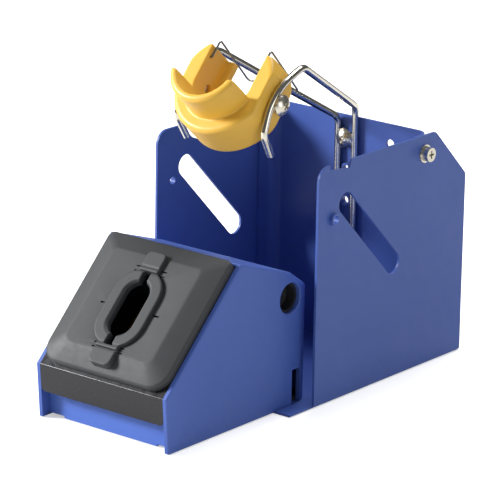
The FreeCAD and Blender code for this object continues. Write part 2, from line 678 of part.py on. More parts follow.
def make_floor():
    """Floor plate that closes the cleaner, its rubber feet and its screws."""
    body = new_body("CleanerFloor")
    outline = new_sketch(body, "XY_Plane", "FloorOutline", floor_height)
    half = inner_half - clear_face
    front = panel_recess + panel_thick + clear_face
    rounded_box(outline, -half, front, half, rear_y - case_wall - clear_face,
                1, rear_round - case_wall)
    pad(body, outline, floor_thick)
    holes = new_sketch(body, "XY_Plane", "FloorHoles", floor_height - 1)
    for sign in (-1, 1):
        for y in (boss_front, boss_back):
            circle(holes, (case_width / 2 - boss_inset) * sign, y, base_screw_radius + clear_fit)
        circle(holes, base_screw_side * sign, tongue_screw_y, base_screw_radius + clear_fit)
    pocket(body, holes, floor_thick + 5, back=True)
    keep(body, "cleaner_floor", BENCH)

    spots = [(foot_side * sign, y) for y in (foot_front, foot_back) for sign in (-1, 1)]
    feet = [bar(f"Foot{i}", foot_radius, floor_height, x, y, 0) for i, (x, y) in enumerate(spots)]
    keep(group("CleanerFeet", feet), "cleaner_feet", BENCH)

    screws = []
    for i, sx in enumerate((-1, 1)):
        for k, y in enumerate((boss_front, boss_back)):
            x = (case_width / 2 - boss_inset) * sx
            head = bar(f"FloorHead{i}{k}", floor_head_radius, floor_height - floor_head_low,
                       x, y, floor_head_low)
            shank = bar(f"FloorShank{i}{k}", base_screw_radius, floor_screw_length, x, y,
                        floor_head_low)
            screws.append(fuse(f"FloorScrew{i}{k}", [head, shank]))
    keep(group("CaseScrews", screws), "case_screws", BENCH)


def make_front_panel():
    """Flat recessed panel under the folded plate."""
    body = new_body("FrontPanel")
    face = new_sketch(body, "XZ_Plane", "PanelFace", -panel_recess)
    half = inner_half - clear_face
    inner = half - panel_step_width
    low = foot_gap + panel_step
    polygon(face, [(-half, low), (-inner, low), (-inner, foot_gap), (inner, foot_gap),
                   (inner, low), (half, low), (half, panel_top), (-half, panel_top)])
    pad(body, face, panel_thick, back=True)
    keep(body, "front_panel", BENCH)


def make_folded_plate():
    """Dark sheet that lies on the slope under the rubber and folds down over the front."""
    body = new_body("FoldedPlate")
    side = new_sketch(body, "YZ_Plane", "PlateSide")
    top_y = ridge_y - 1.6
    top_z = ridge_height - 1.6
    across = plate_thick * 1.414
    lean = front_lean / fold_height
    low_y = -front_lean + lean * plate_drop
    low_z = fold_height - plate_drop
    polygon(side, [(top_y, top_z), (-front_lean, fold_height), (low_y, low_z),
                   (low_y + plate_thick, low_z),
                   (-front_lean + plate_thick, fold_height - plate_thick * 0.414),
                   (top_y, top_z - across)])
    pad(body, side, (inner_half - clear_face) * 2, middle=True)
    window = new_sketch(body, "XY_Plane", "PlateWindow", 0)
    half = mouth_width / 2 + lip_width + 1
    near = cosine(slope_angle) * (mouth_centre - mouth_length / 2 - lip_width - 3) - front_lean
    far = cosine(slope_angle) * (mouth_centre + mouth_length / 2 + lip_width + 3) - front_lean
    rectangle(window, -half, near, half, far)
    pocket(body, window, ridge_height + 10, back=True)
    round_edges(body, plate_corner, lambda p, d, e: abs(d.y) > 0.9 and close_to(p.z, low_z)
                and close_to(abs(p.x), inner_half - clear_face))
    round_edges(body, 0.9, lambda p, d, e: abs(d.x) > 0.9 and close_to(p.z, fold_height)
                and close_to(p.y, -front_lean))
    keep(body, "folded_plate", BENCH)


def make_cover():
    """Moulded rubber cover: a thin rim, bevels up to a plateau, hollow underneath."""
    body = new_body("RubberCover")
    half = case_width / 2 - cover_side
    top = slope_length - cover_end
    rim = new_sketch(body, "XY_Plane", "CoverRim", clear_face)
    rounded_box(rim, -half, cover_start, half, top, cover_corner_low, cover_corner_high)
    pad(body, rim, cover_edge)

    def level(name, height, inset):
        """Plateau outline at one height, moved in by the rubber's wall for the hollow."""
        sketch = new_sketch(body, "XY_Plane", name, height)
        side = half - cover_bevel_side - inset
        rounded_box(sketch, -side, cover_start + cover_bevel_low + inset, side,
                    top - cover_bevel_high - inset, 6, 3)
        return sketch

    def base(name, height, inset):
        sketch = new_sketch(body, "XY_Plane", name, height)
        rounded_box(sketch, -(half - inset), cover_start + inset, half - inset, top - inset,
                    cover_corner_low - inset * 0.5, cover_corner_high)
        return sketch

    low = base("CoverBase", cover_edge + clear_face, 0)
    high = level("CoverPlateau", cover_height, 0)
    doc.recompute()
    rise = body.newObject("PartDesign::AdditiveLoft", "CoverRise")
    rise.Profile = low
    rise.Sections = [high]
    rise.Ruled = True
    doc.recompute()
    inner_low = base("CoverHollowBase", -1, cover_skin)
    inner_high = level("CoverHollowTop", cover_height - cover_skin, cover_skin * 0.6)
    doc.recompute()
    hollow = body.newObject("PartDesign::SubtractiveLoft", "CoverHollow")
    hollow.Profile = inner_low
    hollow.Sections = [inner_high]
    hollow.Ruled = True
    doc.recompute()
    mouth = new_sketch(body, "XY_Plane", "CoverMouth", 0)
    reach = mouth_length / 2 - mouth_width / 2
    slot(mouth, 0, mouth_centre - reach, 0, mouth_centre + reach,
         mouth_width / 2 + lip_width + clear_face)
    pocket(body, mouth, cover_height + 5, back=True)
    round_edges(body, 0.6, lambda p, d, e: close_to(p.z, cover_height)
                and abs(p.x) > number(half) - number(cover_bevel_side) - 7)
    keep(body, "rubber_cover", SLOPE)


def make_lip():
    """Raised ring around the mouth, with narrow ends and a tab beyond each."""
    body = new_body("MouthLip")
    low = cover_height - cover_skin
    reach = mouth_length / 2 - mouth_width / 2
    outline = new_sketch(body, "XY_Plane", "LipOutline", low)
    slot(outline, 0, mouth_centre - reach, 0, mouth_centre + reach, mouth_width / 2 + lip_width)
    pad(body, outline, cover_skin + lip_rise)

    top = cover_height + lip_rise
    under = cover_height + clear_face
    ring_low = mouth_centre - mouth_length / 2 - lip_width
    ring_high = mouth_centre + mouth_length / 2 + lip_width
    bevel = cover_start + cover_bevel_low
    start = ring_low - tab_reach
    rise = (cover_height - cover_edge - clear_face) / cover_bevel_low
    lower = new_sketch(body, "YZ_Plane", "LowerTab")
    polygon(lower, [(start, under - (bevel - start) * rise), (bevel, under),
                    (ring_low + tab_root, under), (ring_low + tab_root, top), (start, top)])
    pad(body, lower, tab_low_half * 2, middle=True)
    upper = new_sketch(body, "YZ_Plane", "UpperTab")
    rectangle(upper, ring_high - tab_root, under, ring_high + tab_reach, top)
    pad(body, upper, tab_high_half * 2, middle=True)
    mouth = new_sketch(body, "XY_Plane", "LipMouth", 0)
    slot(mouth, 0, mouth_centre - reach, 0, mouth_centre + reach, mouth_width / 2)
    pocket(body, mouth, cover_height + lip_rise + 5, back=True)
    necks = new_sketch(body, "XY_Plane", "LipNecks", 0)
    end = mouth_length / 2 + neck_length
    rectangle(necks, -neck_width / 2, mouth_centre - end, neck_width / 2, mouth_centre + end)
    pocket(body, necks, cover_height + lip_rise + 5, back=True)
    keep(body, "mouth_lip", SLOPE)


# ---------------------------------------------------------------- cleaner: brushes and drive
def make_chamber():
    """Box that holds the brushes, open under the mouth, with a gap to the tray."""
    body = new_body("BrushChamber")
    outer = new_sketch(body, "XY_Plane", "ChamberOuter", chamber_low)
    rectangle(outer, -chamber_half, chamber_top, chamber_half, chamber_floor)
    pad(body, outer, chamber_high - chamber_low)
    inner = new_sketch(body, "XY_Plane", "ChamberInner", chamber_low + chamber_wall)
    half = chamber_half - chamber_wall
    rectangle(inner, -half, chamber_top - 1, half, chamber_floor - chamber_wall)
    pocket(body, inner, chamber_high - chamber_low - chamber_wall * 2, back=True)
    gap = new_sketch(body, "XY_Plane", "ChamberGap", chamber_low - 1)
    rectangle(gap, -half, brush_depth + bush_flange, half, chamber_floor - chamber_wall)
    pocket(body, gap, chamber_wall + 2, back=True)
    seats = new_sketch(body, "XY_Plane", "ChamberSeats", chamber_low - 1)
    for sign in (-1, 1):
        circle(seats, brush_spacing / 2 * sign, brush_depth, bush_radius + clear_fit)
    pocket(body, seats, chamber_high - chamber_low + 5, back=True)
    keep(body, "brush_chamber", DRIVE)


def make_gear_plate():
    """Steel plate that carries the upper bushes, the idler pin and the motor."""
    body = new_body("GearPlate")
    face = new_sketch(body, "XY_Plane", "GearPlateFace", gear_plate_low)
    rectangle(face, -24, chamber_top + 6, 24, motor_depth + motor_radius + 2)
    pad(body, face, gear_plate_thick)
    holes = new_sketch(body, "XY_Plane", "GearPlateHoles", gear_plate_low - 1)
    for sign in (-1, 1):
        circle(holes, brush_spacing / 2 * sign, brush_depth, bush_radius + clear_fit)
    circle(holes, -brush_spacing / 2, idler_depth, idler_axle_radius + clear_fit)
    circle(holes, 0, motor_depth, motor_boss + clear_fit)
    pocket(body, holes, gear_plate_thick + 3, back=True)
    keep(body, "gear_plate", DRIVE)


def make_bushes():
    """Flanged bronze bushes, one at each end of each shaft."""
    bushes = []
    for i, sign in enumerate((-1, 1)):
        x = brush_spacing / 2 * sign
        low_body = bar(f"BushLow{i}", bush_radius, chamber_wall + flange_thick, x, brush_depth,
                       chamber_low)
        low_flange = bar(f"BushLowFlange{i}", bush_flange, flange_thick, x, brush_depth,
                         chamber_low + chamber_wall)
        high_start = chamber_high - chamber_wall - flange_thick
        high_body = bar(f"BushHigh{i}", bush_radius, gear_plate_high - high_start, x, brush_depth,
                        high_start)
        high_flange = bar(f"BushHighFlange{i}", bush_flange, flange_thick, x, brush_depth,
                          high_start)
        bore = bar(f"BushBore{i}", shaft_radius + clear_run, 80, x, brush_depth, 0)
        for name, one, two in ((f"BushA{i}", low_body, low_flange),
                               (f"BushB{i}", high_body, high_flange)):
            bushes.append(cut(f"{name}Cut", fuse(name, [one, two]), bore))
    keep(group("BrushBushes", bushes), "brush_bushes", DRIVE)


def make_brush(side, sign):
    """One brush: its shaft, moulded core and bristle pack."""
    x = brush_spacing / 2 * sign
    core_low = chamber_low + chamber_wall + flange_thick + clear_slip
    core_high = chamber_high - chamber_wall - flange_thick - clear_slip
    shaft_end = idler_low - 0.3
    shaft = bar(f"Shaft_{side}", shaft_radius, shaft_end - chamber_low + 1, x, brush_depth,
                chamber_low - 1)
    keep_bar(shaft, f"brush_shaft_{side}")
    core = cut(f"Core_{side}",
               bar(f"CoreBody_{side}", core_radius, core_high - core_low, x, brush_depth, core_low),
               bar(f"CoreBore_{side}", shaft_radius + clear_fit, 80, x, brush_depth, 0))
    keep(core, f"brush_core_{side}", DRIVE)
    pack = cut(f"Bristles_{side}",
               bar(f"BristleBody_{side}", brush_radius, core_high - core_low - 1, x, brush_depth,
                   core_low + 0.5),
               bar(f"BristleBore_{side}", core_radius + clear_fit, 80, x, brush_depth, 0))
    keep(pack, f"brush_bristles_{side}", DRIVE)


def keep_bar(solid, label):
    """A lone cylinder becomes a sub-part through a one-piece group that carries the frame."""
    keep(group(f"{solid.Name}Part", [solid]), label, DRIVE)


def tooth_spaces(sketch, teeth, x, y, phase):
    """Draw every tooth space of one gear as its own four-sided outline."""
    pitch = module * (teeth / 2)
    root_radius = pitch - module * TOOTH_DEDENDUM
    open_radius = pitch + module * TOOTH_OPEN
    half_pitch = 180 / teeth
    for i in range(teeth):
        middle = phase + i * 2 * half_pitch
        corners = []
        for radius, share in ((root_radius, -ROOT_SHARE), (open_radius, -OPEN_SHARE),
                              (open_radius, OPEN_SHARE), (root_radius, ROOT_SHARE)):
            turn = math.radians(middle + half_pitch * share)
            corners.append((x + radius * math.cos(turn), y + radius * math.sin(turn)))
        polygon(sketch, corners)


def toothed(body, name, teeth, x, y, low, width, phase):
    """Pad a gear blank and cut its tooth spaces."""
    blank = new_sketch(body, "XY_Plane", f"{name}Blank", low)
    circle(blank, x, y, module * (teeth / 2 + TOOTH_ADDENDUM))
    pad(body, blank, width)
    spaces = new_sketch(body, "XY_Plane", f"{name}Spaces", low - 0.1)
    tooth_spaces(spaces, teeth, x, y, phase)
    pocket(body, spaces, width + 0.2, back=True)


def make_gears():
    """Two equal brush gears, a stepped idler and the motor pinion."""
    left, right = -brush_spacing / 2, brush_spacing / 2
    space = 180 / BRUSH_TEETH
    for side, x, phase in (("left", left, 0), ("right", right, 180 - space)):
        body = new_body(f"BrushGear_{side}")
        # the left gear shows a tooth space to the right one, which shows it a tooth
        toothed(body, f"BrushGear_{side}", BRUSH_TEETH, x, brush_depth, brush_gear_low,
                gear_width, phase)
        bore = new_sketch(body, "XY_Plane", f"BrushGearBore_{side}", brush_gear_low - 1)
        circle(bore, x, brush_depth, shaft_radius + clear_fit)
        pocket(body, bore, gear_width + 2, back=True)
        keep(body, f"brush_gear_{side}", DRIVE)

    idler = new_body("IdlerGear")
    toothed(idler, "IdlerSmall", SMALL_TEETH, left, idler_depth, brush_gear_low,
            idler_low - brush_gear_low + gear_gap, 270 + 180 / SMALL_TEETH)
    aim = math.degrees(math.atan2(number(motor_depth - idler_depth), number(-left)))
    large = new_sketch(idler, "XY_Plane", "IdlerLargeBlank", idler_low)
    circle(large, left, idler_depth, module * (IDLER_TEETH / 2 + TOOTH_ADDENDUM))
    pad(idler, large, idler_width)
    spaces = new_sketch(idler, "XY_Plane", "IdlerLargeSpaces", idler_low - 0.1)
    tooth_spaces(spaces, IDLER_TEETH, left, idler_depth, aim)
    pocket(idler, spaces, idler_width + 0.2, back=True)
    bore = new_sketch(idler, "XY_Plane", "IdlerBore", brush_gear_low - 1)
    circle(bore, left, idler_depth, idler_axle_radius + clear_run)
    pocket(idler, bore, 20, back=True)
    keep(idler, "idler_gear", DRIVE)

    pinion = new_body("MotorPinion")
    toothed(pinion, "MotorPinion", SMALL_TEETH, 0, motor_depth, idler_low - gear_gap,
            idler_width + gear_gap * 2, aim + 180 + 180 / SMALL_TEETH)
    bore = new_sketch(pinion, "XY_Plane", "PinionBore", idler_low - 2)
    circle(bore, 0, motor_depth, motor_shaft_radius + clear_fit)
    pocket(pinion, bore, 20, back=True)
    keep(pinion, "motor_pinion", DRIVE)

    pin = bar("IdlerPin", idler_axle_radius, idler_low + idler_width + 0.8 - gear_plate_low,
              left, idler_depth, gear_plate_low)
    keep_bar(pin, "idler_pin")


def make_motor():
    """Small flat-sided motor on the gear plate, and its shaft."""
    body = new_body("Motor")
    back = gear_plate_low - clear_face - motor_length
    can = new_sketch(body, "XY_Plane", "MotorCan", back)
    circle(can, 0, motor_depth, motor_radius)
    pad(body, can, motor_length)
    flats = new_sketch(body, "XY_Plane", "MotorFlats", back - 1)
    for sign in (-1, 1):
        near = motor_depth + motor_flat / 2 * sign
        far = motor_depth + (motor_radius + 2) * sign
        low, high = (far, near) if sign < 0 else (near, far)
        rectangle(flats, -motor_radius - 2, low, motor_radius + 2, high)
    pocket(body, flats, motor_length + 2, back=True)
    nose = new_sketch(body, "XY_Plane", "MotorNose", gear_plate_low - clear_face)
    circle(nose, 0, motor_depth, motor_boss)
    pad(body, nose, gear_plate_thick + clear_face)
    bore = new_sketch(body, "XY_Plane", "MotorBore", back + 4)
    circle(bore, 0, motor_depth, motor_shaft_radius + clear_run)
    pocket(body, bore, motor_length + 10, back=True)
    keep(body, "motor", DRIVE)
    shaft = bar("MotorShaft", motor_shaft_radius, idler_low + idler_width + 0.4 - back - 5, 0,
                motor_depth, back + 5)
    keep_bar(shaft, "motor_shaft")


def make_tray():
    """Open tray that catches solder scrap from the chamber."""
    body = new_body("DebrisTray")
    low = floor_height + floor_thick + clear_face
    outer = new_sketch(body, "XY_Plane", "TrayOuter", low)
    rounded_box(outer, -tray_half, tray_front, tray_half, tray_front + tray_depth, 3, 3)
    pad(body, outer, tray_height)
    inner = new_sketch(body, "XY_Plane", "TrayInner", low + tray_wall)
    rounded_box(inner, -(tray_half - tray_wall), tray_front + tray_wall, tray_half - tray_wall,
                tray_front + tray_depth - tray_wall, 2, 2)
    pocket(body, inner, tray_height, back=True)
    keep(body, "debris_tray", BENCH)


def make_electrics():
    """Control board on spacers, its larger components and the power inlet."""
    left = -board_width / 2
    board = block("Board", left, board_front, board_height, board_width, board_depth, board_thick)
    keep(group("ControlBoard", [board]), "control_board", BENCH)
    low = floor_height + floor_thick
    spots = [(left + x, board_front + y) for y in (spacer_inset, board_depth - spacer_inset)
             for x in (spacer_inset, board_width - spacer_inset)]
    spacers = [bar(f"Spacer{i}", spacer_radius, board_height - low, x, y, low)
               for i, (x, y) in enumerate(spots)]
    keep(group("BoardSpacers", spacers), "board_spacers", BENCH)
    top = board_height + board_thick
    relay_width, relay_depth, relay_height = 12, 15, 10
    chip_width, chip_depth, chip_height = 8, 10, 1.8
    store_radius, store_height = 4, 8
    relay = block("Relay", left + 9, board_front + 8, top, relay_width, relay_depth, relay_height)
    chip = block("Chip", left + 23, board_front + 18, top, chip_width, chip_depth, chip_height)
    store = bar("Capacitor", store_radius, store_height, left + 36, board_front + 25, top)
    keep(group("BoardComponents", [relay, chip, store]), "board_components", BENCH)

    inner = inner_half - clear_face
    shell = bar("InletShell", inlet_radius, inlet_length, inner - inlet_length, port_y,
                port_height, "x")
    dish = bar("InletDish", inlet_dish, inlet_recess + 2, inner - inlet_recess, port_y,
               port_height, "x")
    hole = bar("InletHole", inlet_bore, inlet_length - inlet_recess - 1,
               inner - inlet_length + 2, port_y, port_height, "x")
    hollow = cut("InletHollow", cut("InletDished", shell, dish), hole)
    centre = bar("InletPin", inlet_pin, inlet_length - inlet_recess - 2, inner - inlet_length + 1, port_y,
                 port_height, "x")
    keep(fuse("PowerInlet", [hollow, centre]), "power_inlet", BENCH)


# ---------------------------------------------------------------- holder
def make_holder_base():
    """One bent sheet: two side plates and a floor whose tongue runs under the cleaner."""
    body = new_body("HolderBase")
    section = new_sketch(body, "XZ_Plane", "HolderSection", -(holder_front - tongue_length))
    half = holder_width / 2
    polygon(section, [(-half, 0), (half, 0), (half, holder_height),
                      (plate_inner, holder_height), (plate_inner, sheet_thick),
                      (-plate_inner, sheet_thick), (-plate_inner, holder_height),
                      (-half, holder_height)])
    pad(body, section, holder_length + tongue_length, back=True)
    round_edges(body, sheet_thick * 1.2, lambda p, d, e: abs(d.y) > 0.99 and close_to(p.z, 0)
                and close_to(abs(p.x), half))

    front = new_sketch(body, "YZ_Plane", "HolderTrim")
    top = holder_height + 5
    rectangle(front, holder_front - tongue_length - 5, sheet_thick, holder_front, top)
    pocket(body, front, holder_width + 10, middle=True)
    rear = new_sketch(body, "YZ_Plane", "HolderChamfer")
    polygon(rear, [(holder_back - rear_chamfer - 5, holder_height + 5),
                   (holder_back + 5, holder_height - rear_chamfer - 5),
                   (holder_back + 5, holder_height + 5)])
    pocket(body, rear, holder_width + 10, middle=True)
    round_edges(body, front_corner, lambda p, d, e: abs(d.x) > 0.99
                and close_to(p.z, holder_height) and close_to(p.y, holder_front))
    round_edges(body, 3, lambda p, d, e: abs(d.x) > 0.99
                and (close_to(p.z, holder_height) and close_to(p.y, holder_back - rear_chamfer)
                     or close_to(p.y, holder_back) and close_to(p.z, holder_height - rear_chamfer)))

    dip = new_sketch(body, "YZ_Plane", "RightDip", plate_inner - 1)
    floor_z = holder_height - notch_dip
    dip_front, dip_back = holder_front + dip_start, holder_front + dip_end
    polygon(dip, [(dip_front, holder_height + 1), (dip_front, floor_z + dip_rise),
                  (dip_back, floor_z), (dip_back + 1.5, holder_height),
                  (dip_back + 1.5, holder_height + 1)])
    pocket(body, dip, sheet_thick + 5, back=True)
    scoop = new_sketch(body, "YZ_Plane", "LeftScoop", -half - 1)
    profile = ((left_start, -1), (left_start, 0), (left_knee, left_knee_drop),
               (left_low, left_drop), (left_high, left_drop), (left_end, 0), (left_end, -1))
    polygon(scoop, [(holder_front + y, holder_height - drop) for y, drop in profile])
    pocket(body, scoop, sheet_thick + 3, back=True)

    slots = new_sketch(body, "YZ_Plane", "HolderSlots")
    slot(slots, holder_front + slot_front, slot_top, holder_front + slot_front + slot_run,
         slot_top - slot_run, slot_radius)
    pocket(body, slots, holder_width + 10, middle=True)

    collar = new_sketch(body, "YZ_Plane", "SideCollar", half - 0.2)
    circle(collar, holder_front + stud_front, stud_height, collar_radius)
    ring = pad(body, collar, collar_length + 0.2)
    mirror(body, [ring], "YZ_Plane")
    holes = new_sketch(body, "YZ_Plane", "SideHoles")
    circle(holes, holder_front + stud_front, stud_height, tap_radius)
    circle(holes, holder_back - side_screw_back, side_screw_height, tap_radius + clear_slip)
    pocket(body, holes, holder_width + 20, middle=True)
    floor_holes(body, "HolderFloor", 0, sheet_thick, sunk=True)
    keep(body, "holder_base", BENCH)


def floor_holes(body, name, low, thick, sunk):
    """Holes for the countersunk screws that come up through the holder's floor."""
    sketch = new_sketch(body, "XY_Plane", f"{name}Holes", low - 1)
    for y in (tongue_screw_y, bracket_y + sheet_thick + foot_flange * 0.6):
        for sign in (-1, 1):
            circle(sketch, base_screw_side * sign, y, base_screw_radius + clear_fit)
    pocket(body, sketch, thick + 2, back=True)
    if sunk:
        doc.recompute()
        names = edges_where(body.Tip.Shape, lambda p, d, e: close_to(p.z, low) and e.Closed)
        bevel = body.newObject("PartDesign::Chamfer", f"{name}Sink")
        bevel.Base = (body.Tip if body.Tip.Name != bevel.Name else body.Group[-2], names)
        bind(bevel, "Size", base_head_radius - base_screw_radius)
        doc.recompute()


def make_bracket():
    """Rear wall with forward flanges, a foot flange and tapped collars for the clamp."""
    body = new_body("RearBracket")
    back = bracket_y + sheet_thick
    front = bracket_y - flange_length
    inner = bracket_half - sheet_thick
    plan = new_sketch(body, "XY_Plane", "BracketPlan", sheet_thick + clear_face)
    polygon(plan, [(-bracket_half, front), (-inner, front), (-inner, bracket_y),
                   (inner, bracket_y), (inner, front), (bracket_half, front),
                   (bracket_half, back), (-bracket_half, back)])
    pad(body, plan, holder_height - sheet_thick - clear_face)
    round_edges(body, bend_radius, lambda p, d, e: abs(d.z) > 0.99 and close_to(p.y, bracket_y)
                and close_to(abs(p.x), inner))
    round_edges(body, bend_radius + sheet_thick, lambda p, d, e: abs(d.z) > 0.99
                and close_to(p.y, back) and close_to(abs(p.x), bracket_half))
    foot = new_sketch(body, "XY_Plane", "BracketFoot", sheet_thick + clear_face)
    rectangle(foot, -(inner - bend_radius), bracket_y + 0.2, inner - bend_radius,
              back + foot_flange)
    pad(body, foot, sheet_thick)
    collars = new_sketch(body, "XZ_Plane", "ClampCollars", -(bracket_y + 0.2))
    for i in range(3):
        circle(collars, 0, clamp_height - clamp_pitch * i, collar_radius)
    pad(body, collars, collar_length + 0.2)
    bores = new_sketch(body, "XZ_Plane", "ClampBores", -(back + 1))
    for i in range(3):
        circle(bores, 0, clamp_height - clamp_pitch * i, tap_radius + clear_fit)
    circle(bores, hole_side, hole_height, hole_radius)
    pocket(body, bores, sheet_thick + collar_length + 5, back=True)
    side = new_sketch(body, "YZ_Plane", "BracketSides")
    circle(side, holder_back - side_screw_back, side_screw_height, tap_radius + clear_fit)
    pocket(body, side, holder_width + 10, middle=True)
    floor = new_sketch(body, "XY_Plane", "FootHoles", 0)
    for sign in (-1, 1):
        circle(floor, base_screw_side * sign, back + foot_flange * 0.6,
               base_screw_radius + clear_fit)
    pocket(body, floor, 10, back=True)
    keep(body, "rear_bracket", BENCH)


def make_side_screws():
    """Pan screws that hold the bracket, each with a spring washer and a flat washer."""
    y = holder_back - side_screw_back
    z = side_screw_height
    flats, springs, screws = [], [], []
    for i, sign in enumerate((-1, 1)):
        outer = holder_width / 2

        def disc(name, radius, thick, start):
            """A disc at one distance out from the plate, on either side."""
            low = (outer + start) if sign > 0 else -(outer + start + thick)
            return bar(name, radius, thick, low, y, z, "x")

        bore = bar(f"WasherBore{i}", tap_radius + clear_fit, holder_width + 30,
                   -holder_width / 2 - 15, y, z, "x")
        flats.append(cut(f"FlatWasher{i}", disc(f"FlatBlank{i}", washer_radius, washer_thick, 0),
                         bore))
        spring = cut(f"SpringRing{i}",
                     disc(f"SpringBlank{i}", spring_radius, spring_thick, washer_thick), bore)
        gap = block(f"SpringGap{i}", -holder_width, y, z, holder_width * 2, 0.6, spring_radius + 1)
        springs.append(cut(f"SpringWasher{i}", spring, gap))
        start = washer_thick + spring_thick
        head = disc(f"PanHead{i}", pan_head_radius, pan_head_height, start)
        reach = start + sheet_thick * 2 + 3
        low = (outer + start - reach) if sign > 0 else -(outer + start)
        shank = bar(f"PanShank{i}", tap_radius, reach, low, y, z, "x")
        whole = fuse(f"PanScrew{i}", [head, shank])
        cross = cross_recess(f"PanCross{i}", outer + start + pan_head_height, sign, y, z)
        screws.append(cut(f"PanScrewCut{i}", whole, cross))
    keep(group("BracketFlatWashers", flats), "bracket_flat_washers", BENCH)
    keep(group("BracketSpringWashers", springs), "bracket_spring_washers", BENCH)
    keep(group("BracketScrews", screws), "bracket_screws", BENCH)


def cross_recess(name, top, sign, y, z):
    """Two crossed blades that cut a driver recess into a head on a side plate."""
    low = top - recess_depth if sign > 0 else -(top + 1)
    thin, wide = recess_width / 2, recess_span / 2
    one = block(f"{name}A", low, y - thin, z - wide, recess_depth + 1, thin * 2, wide * 2)
    two = block(f"{name}B", low, y - wide, z - thin, recess_depth + 1, wide * 2, thin * 2)
    return fuse(name, [one, two])


def make_base_screws():
    """Countersunk screws through the holder's floor, and their nuts."""
    screws, nuts = [], []
    rows = ((tongue_screw_y, floor_height + floor_thick),
            (bracket_y + sheet_thick + foot_flange * 0.6, sheet_thick * 2 + clear_face))
    for i, (y, seat) in enumerate(rows):
        for k, sign in enumerate((-1, 1)):
            x = base_screw_side * sign
            sink = base_head_radius - base_screw_radius
            head = cone(f"BaseHead{i}{k}", base_head_radius, base_screw_radius, sink, x, y, 0)
            shank = bar(f"BaseShank{i}{k}", base_screw_radius, base_screw_length, x, y, 0)
            screws.append(fuse(f"BaseScrew{i}{k}", [head, shank]))
            nut = doc.addObject("Part::Prism", f"BaseNut{i}{k}")
            nut.Polygon = 6
            for prop, value in (("Circumradius", base_screw_radius * 2.1),
                                ("Height", base_screw_radius * 1.5), ("Placement.Base.x", x),
                                ("Placement.Base.y", y), ("Placement.Base.z", seat)):
                bind(nut, prop, value)
            hole = bar(f"BaseNutHole{i}{k}", base_screw_radius + clear_fit, 12, x, y, 0)
            nuts.append(cut(f"BaseNutCut{i}{k}", nut, hole))
    keep(group("BaseScrews", screws), "base_screws", BENCH)
    keep(group("BaseNuts", nuts), "base_nuts", BENCH)


# ---------------------------------------------------------------- wire work
def rounded_path(points, radii):
    """A wire of straight runs joined by tangent arcs at the inner points."""
    edges = []
    start = points[0]
    for before, corner, after, radius in zip(points, points[1:], points[2:], radii):
        along_in = (corner - before).normalize()
        along_out = (after - corner).normalize()
        turn = along_in.getAngle(along_out)
        setback = radius * math.tan(turn / 2)
        arc_start = corner - along_in * setback
        arc_end = corner + along_out * setback
        bulge = (along_out - along_in).normalize()
        centre = corner + bulge * (radius / math.cos(turn / 2))
        arc_mid = centre - bulge * radius
        edges.append(Part.LineSegment(start, arc_start).toShape())
        edges.append(Part.Arc(arc_start, arc_mid, arc_end).toShape())
        start = arc_end
    edges.append(Part.LineSegment(start, points[-1]).toShape())
    return Part.Wire(edges)


def swept_wire(path, radius):
    """A round wire of one radius along a path."""
    first = path.Edges[0]
    point = first.valueAt(first.FirstParameter)
    along = first.tangentAt(first.FirstParameter)
    ring = Part.Wire(Part.makeCircle(radius, point, along))
    solid = path.makePipeShell([ring], True, False, 2)
    expected = math.pi * radius ** 2 * path.Length
    if abs(solid.Volume / expected - 1) > 0.02:
        raise RuntimeError("a swept wire has the wrong volume")
    return solid


def arm_points(sign, rear_top):
    """Corner points of one arm, in the bench frame, from its front end to its post's foot."""
    side, hook = arm_side * sign, (arm_side - hook_side) * sign
    wall = bracket_y - wire_radius - clear_face / 2
    corners = [(hook, tilt_y - hook_front, tilt_height - hook_drop),
               (side, tilt_y - knee_front, tilt_height - knee_drop),
               (side, tilt_y - brow_front, tilt_height + brow_rise),
               (side, tilt_y + peak_back, tilt_height + peak_rise),
               (post_side * sign, wall, rear_top), (post_side * sign, wall, post_low)]
    return [Vector(*map(number, corner)) for corner in corners]


def make_arms():
    """Two bent wires: post on the bracket, boom forward, hooked round the receptacle's side."""
    bends = [number(bend) for bend in (knee_bend, brow_bend, peak_bend, post_bend)]
    for side, sign, rise in (("left", -1, left_post_rise), ("right", 1, right_post_rise)):
        path = rounded_path(arm_points(sign, clamp_height + rise), bends)
        arm = doc.addObject("Part::Feature", f"WireArm_{side}")
        arm.Shape = swept_wire(path, number(wire_radius))
        keep(arm, f"wire_arm_{side}", BENCH)


def truss_profile(name, radius, height, shank, x, y, z, turn):
    """A truss screw turned about its own axis: low dome, flat underside and shank."""
    dome = doc.addObject("Part::Sphere", f"{name}Dome")
    big = (radius * radius + height * height) / (height * 2)
    bind(dome, "Radius", big)
    bind(dome, "Placement.Base.z", height - big)
    skin = bar(f"{name}Skin", radius, height, 0, 0, 0)
    head = doc.addObject("Part::Common", f"{name}Head")
    head.Base = dome
    head.Tool = skin
    stem = bar(f"{name}Stem", tap_radius, shank, 0, 0, -shank)
    whole = fuse(f"{name}Whole", [head, stem])
    thin, wide, low = recess_width / 2, recess_span / 2, height - recess_depth
    one = block(f"{name}CrossA", -wide, -thin, low, wide * 2, thin * 2, recess_depth + 1)
    two = block(f"{name}CrossB", -thin, -wide, low, thin * 2, wide * 2, recess_depth + 1)
    screw = cut(name, whole, fuse(f"{name}Cross", [one, two]))
    screw.Placement = Place(Vector(), turn)
    for key, value in (("x", x), ("y", y), ("z", z)):
        bind(screw, f"Placement.Base.{key}", value)
    return screw


def make_clamp():
    """Truss screw whose wide head presses both posts against the bracket."""
    front = bracket_y - wire_radius * 2 - clear_face
    reach = wire_radius * 2 + clear_face + sheet_thick + 3
    screw = truss_profile("ClampTruss", truss_radius, truss_height, reach, 0, front,
                          clamp_height, Rotation(Vector(1, 0, 0), 90))
    keep(group("ClampScrew", [screw]), "clamp_screw", BENCH)


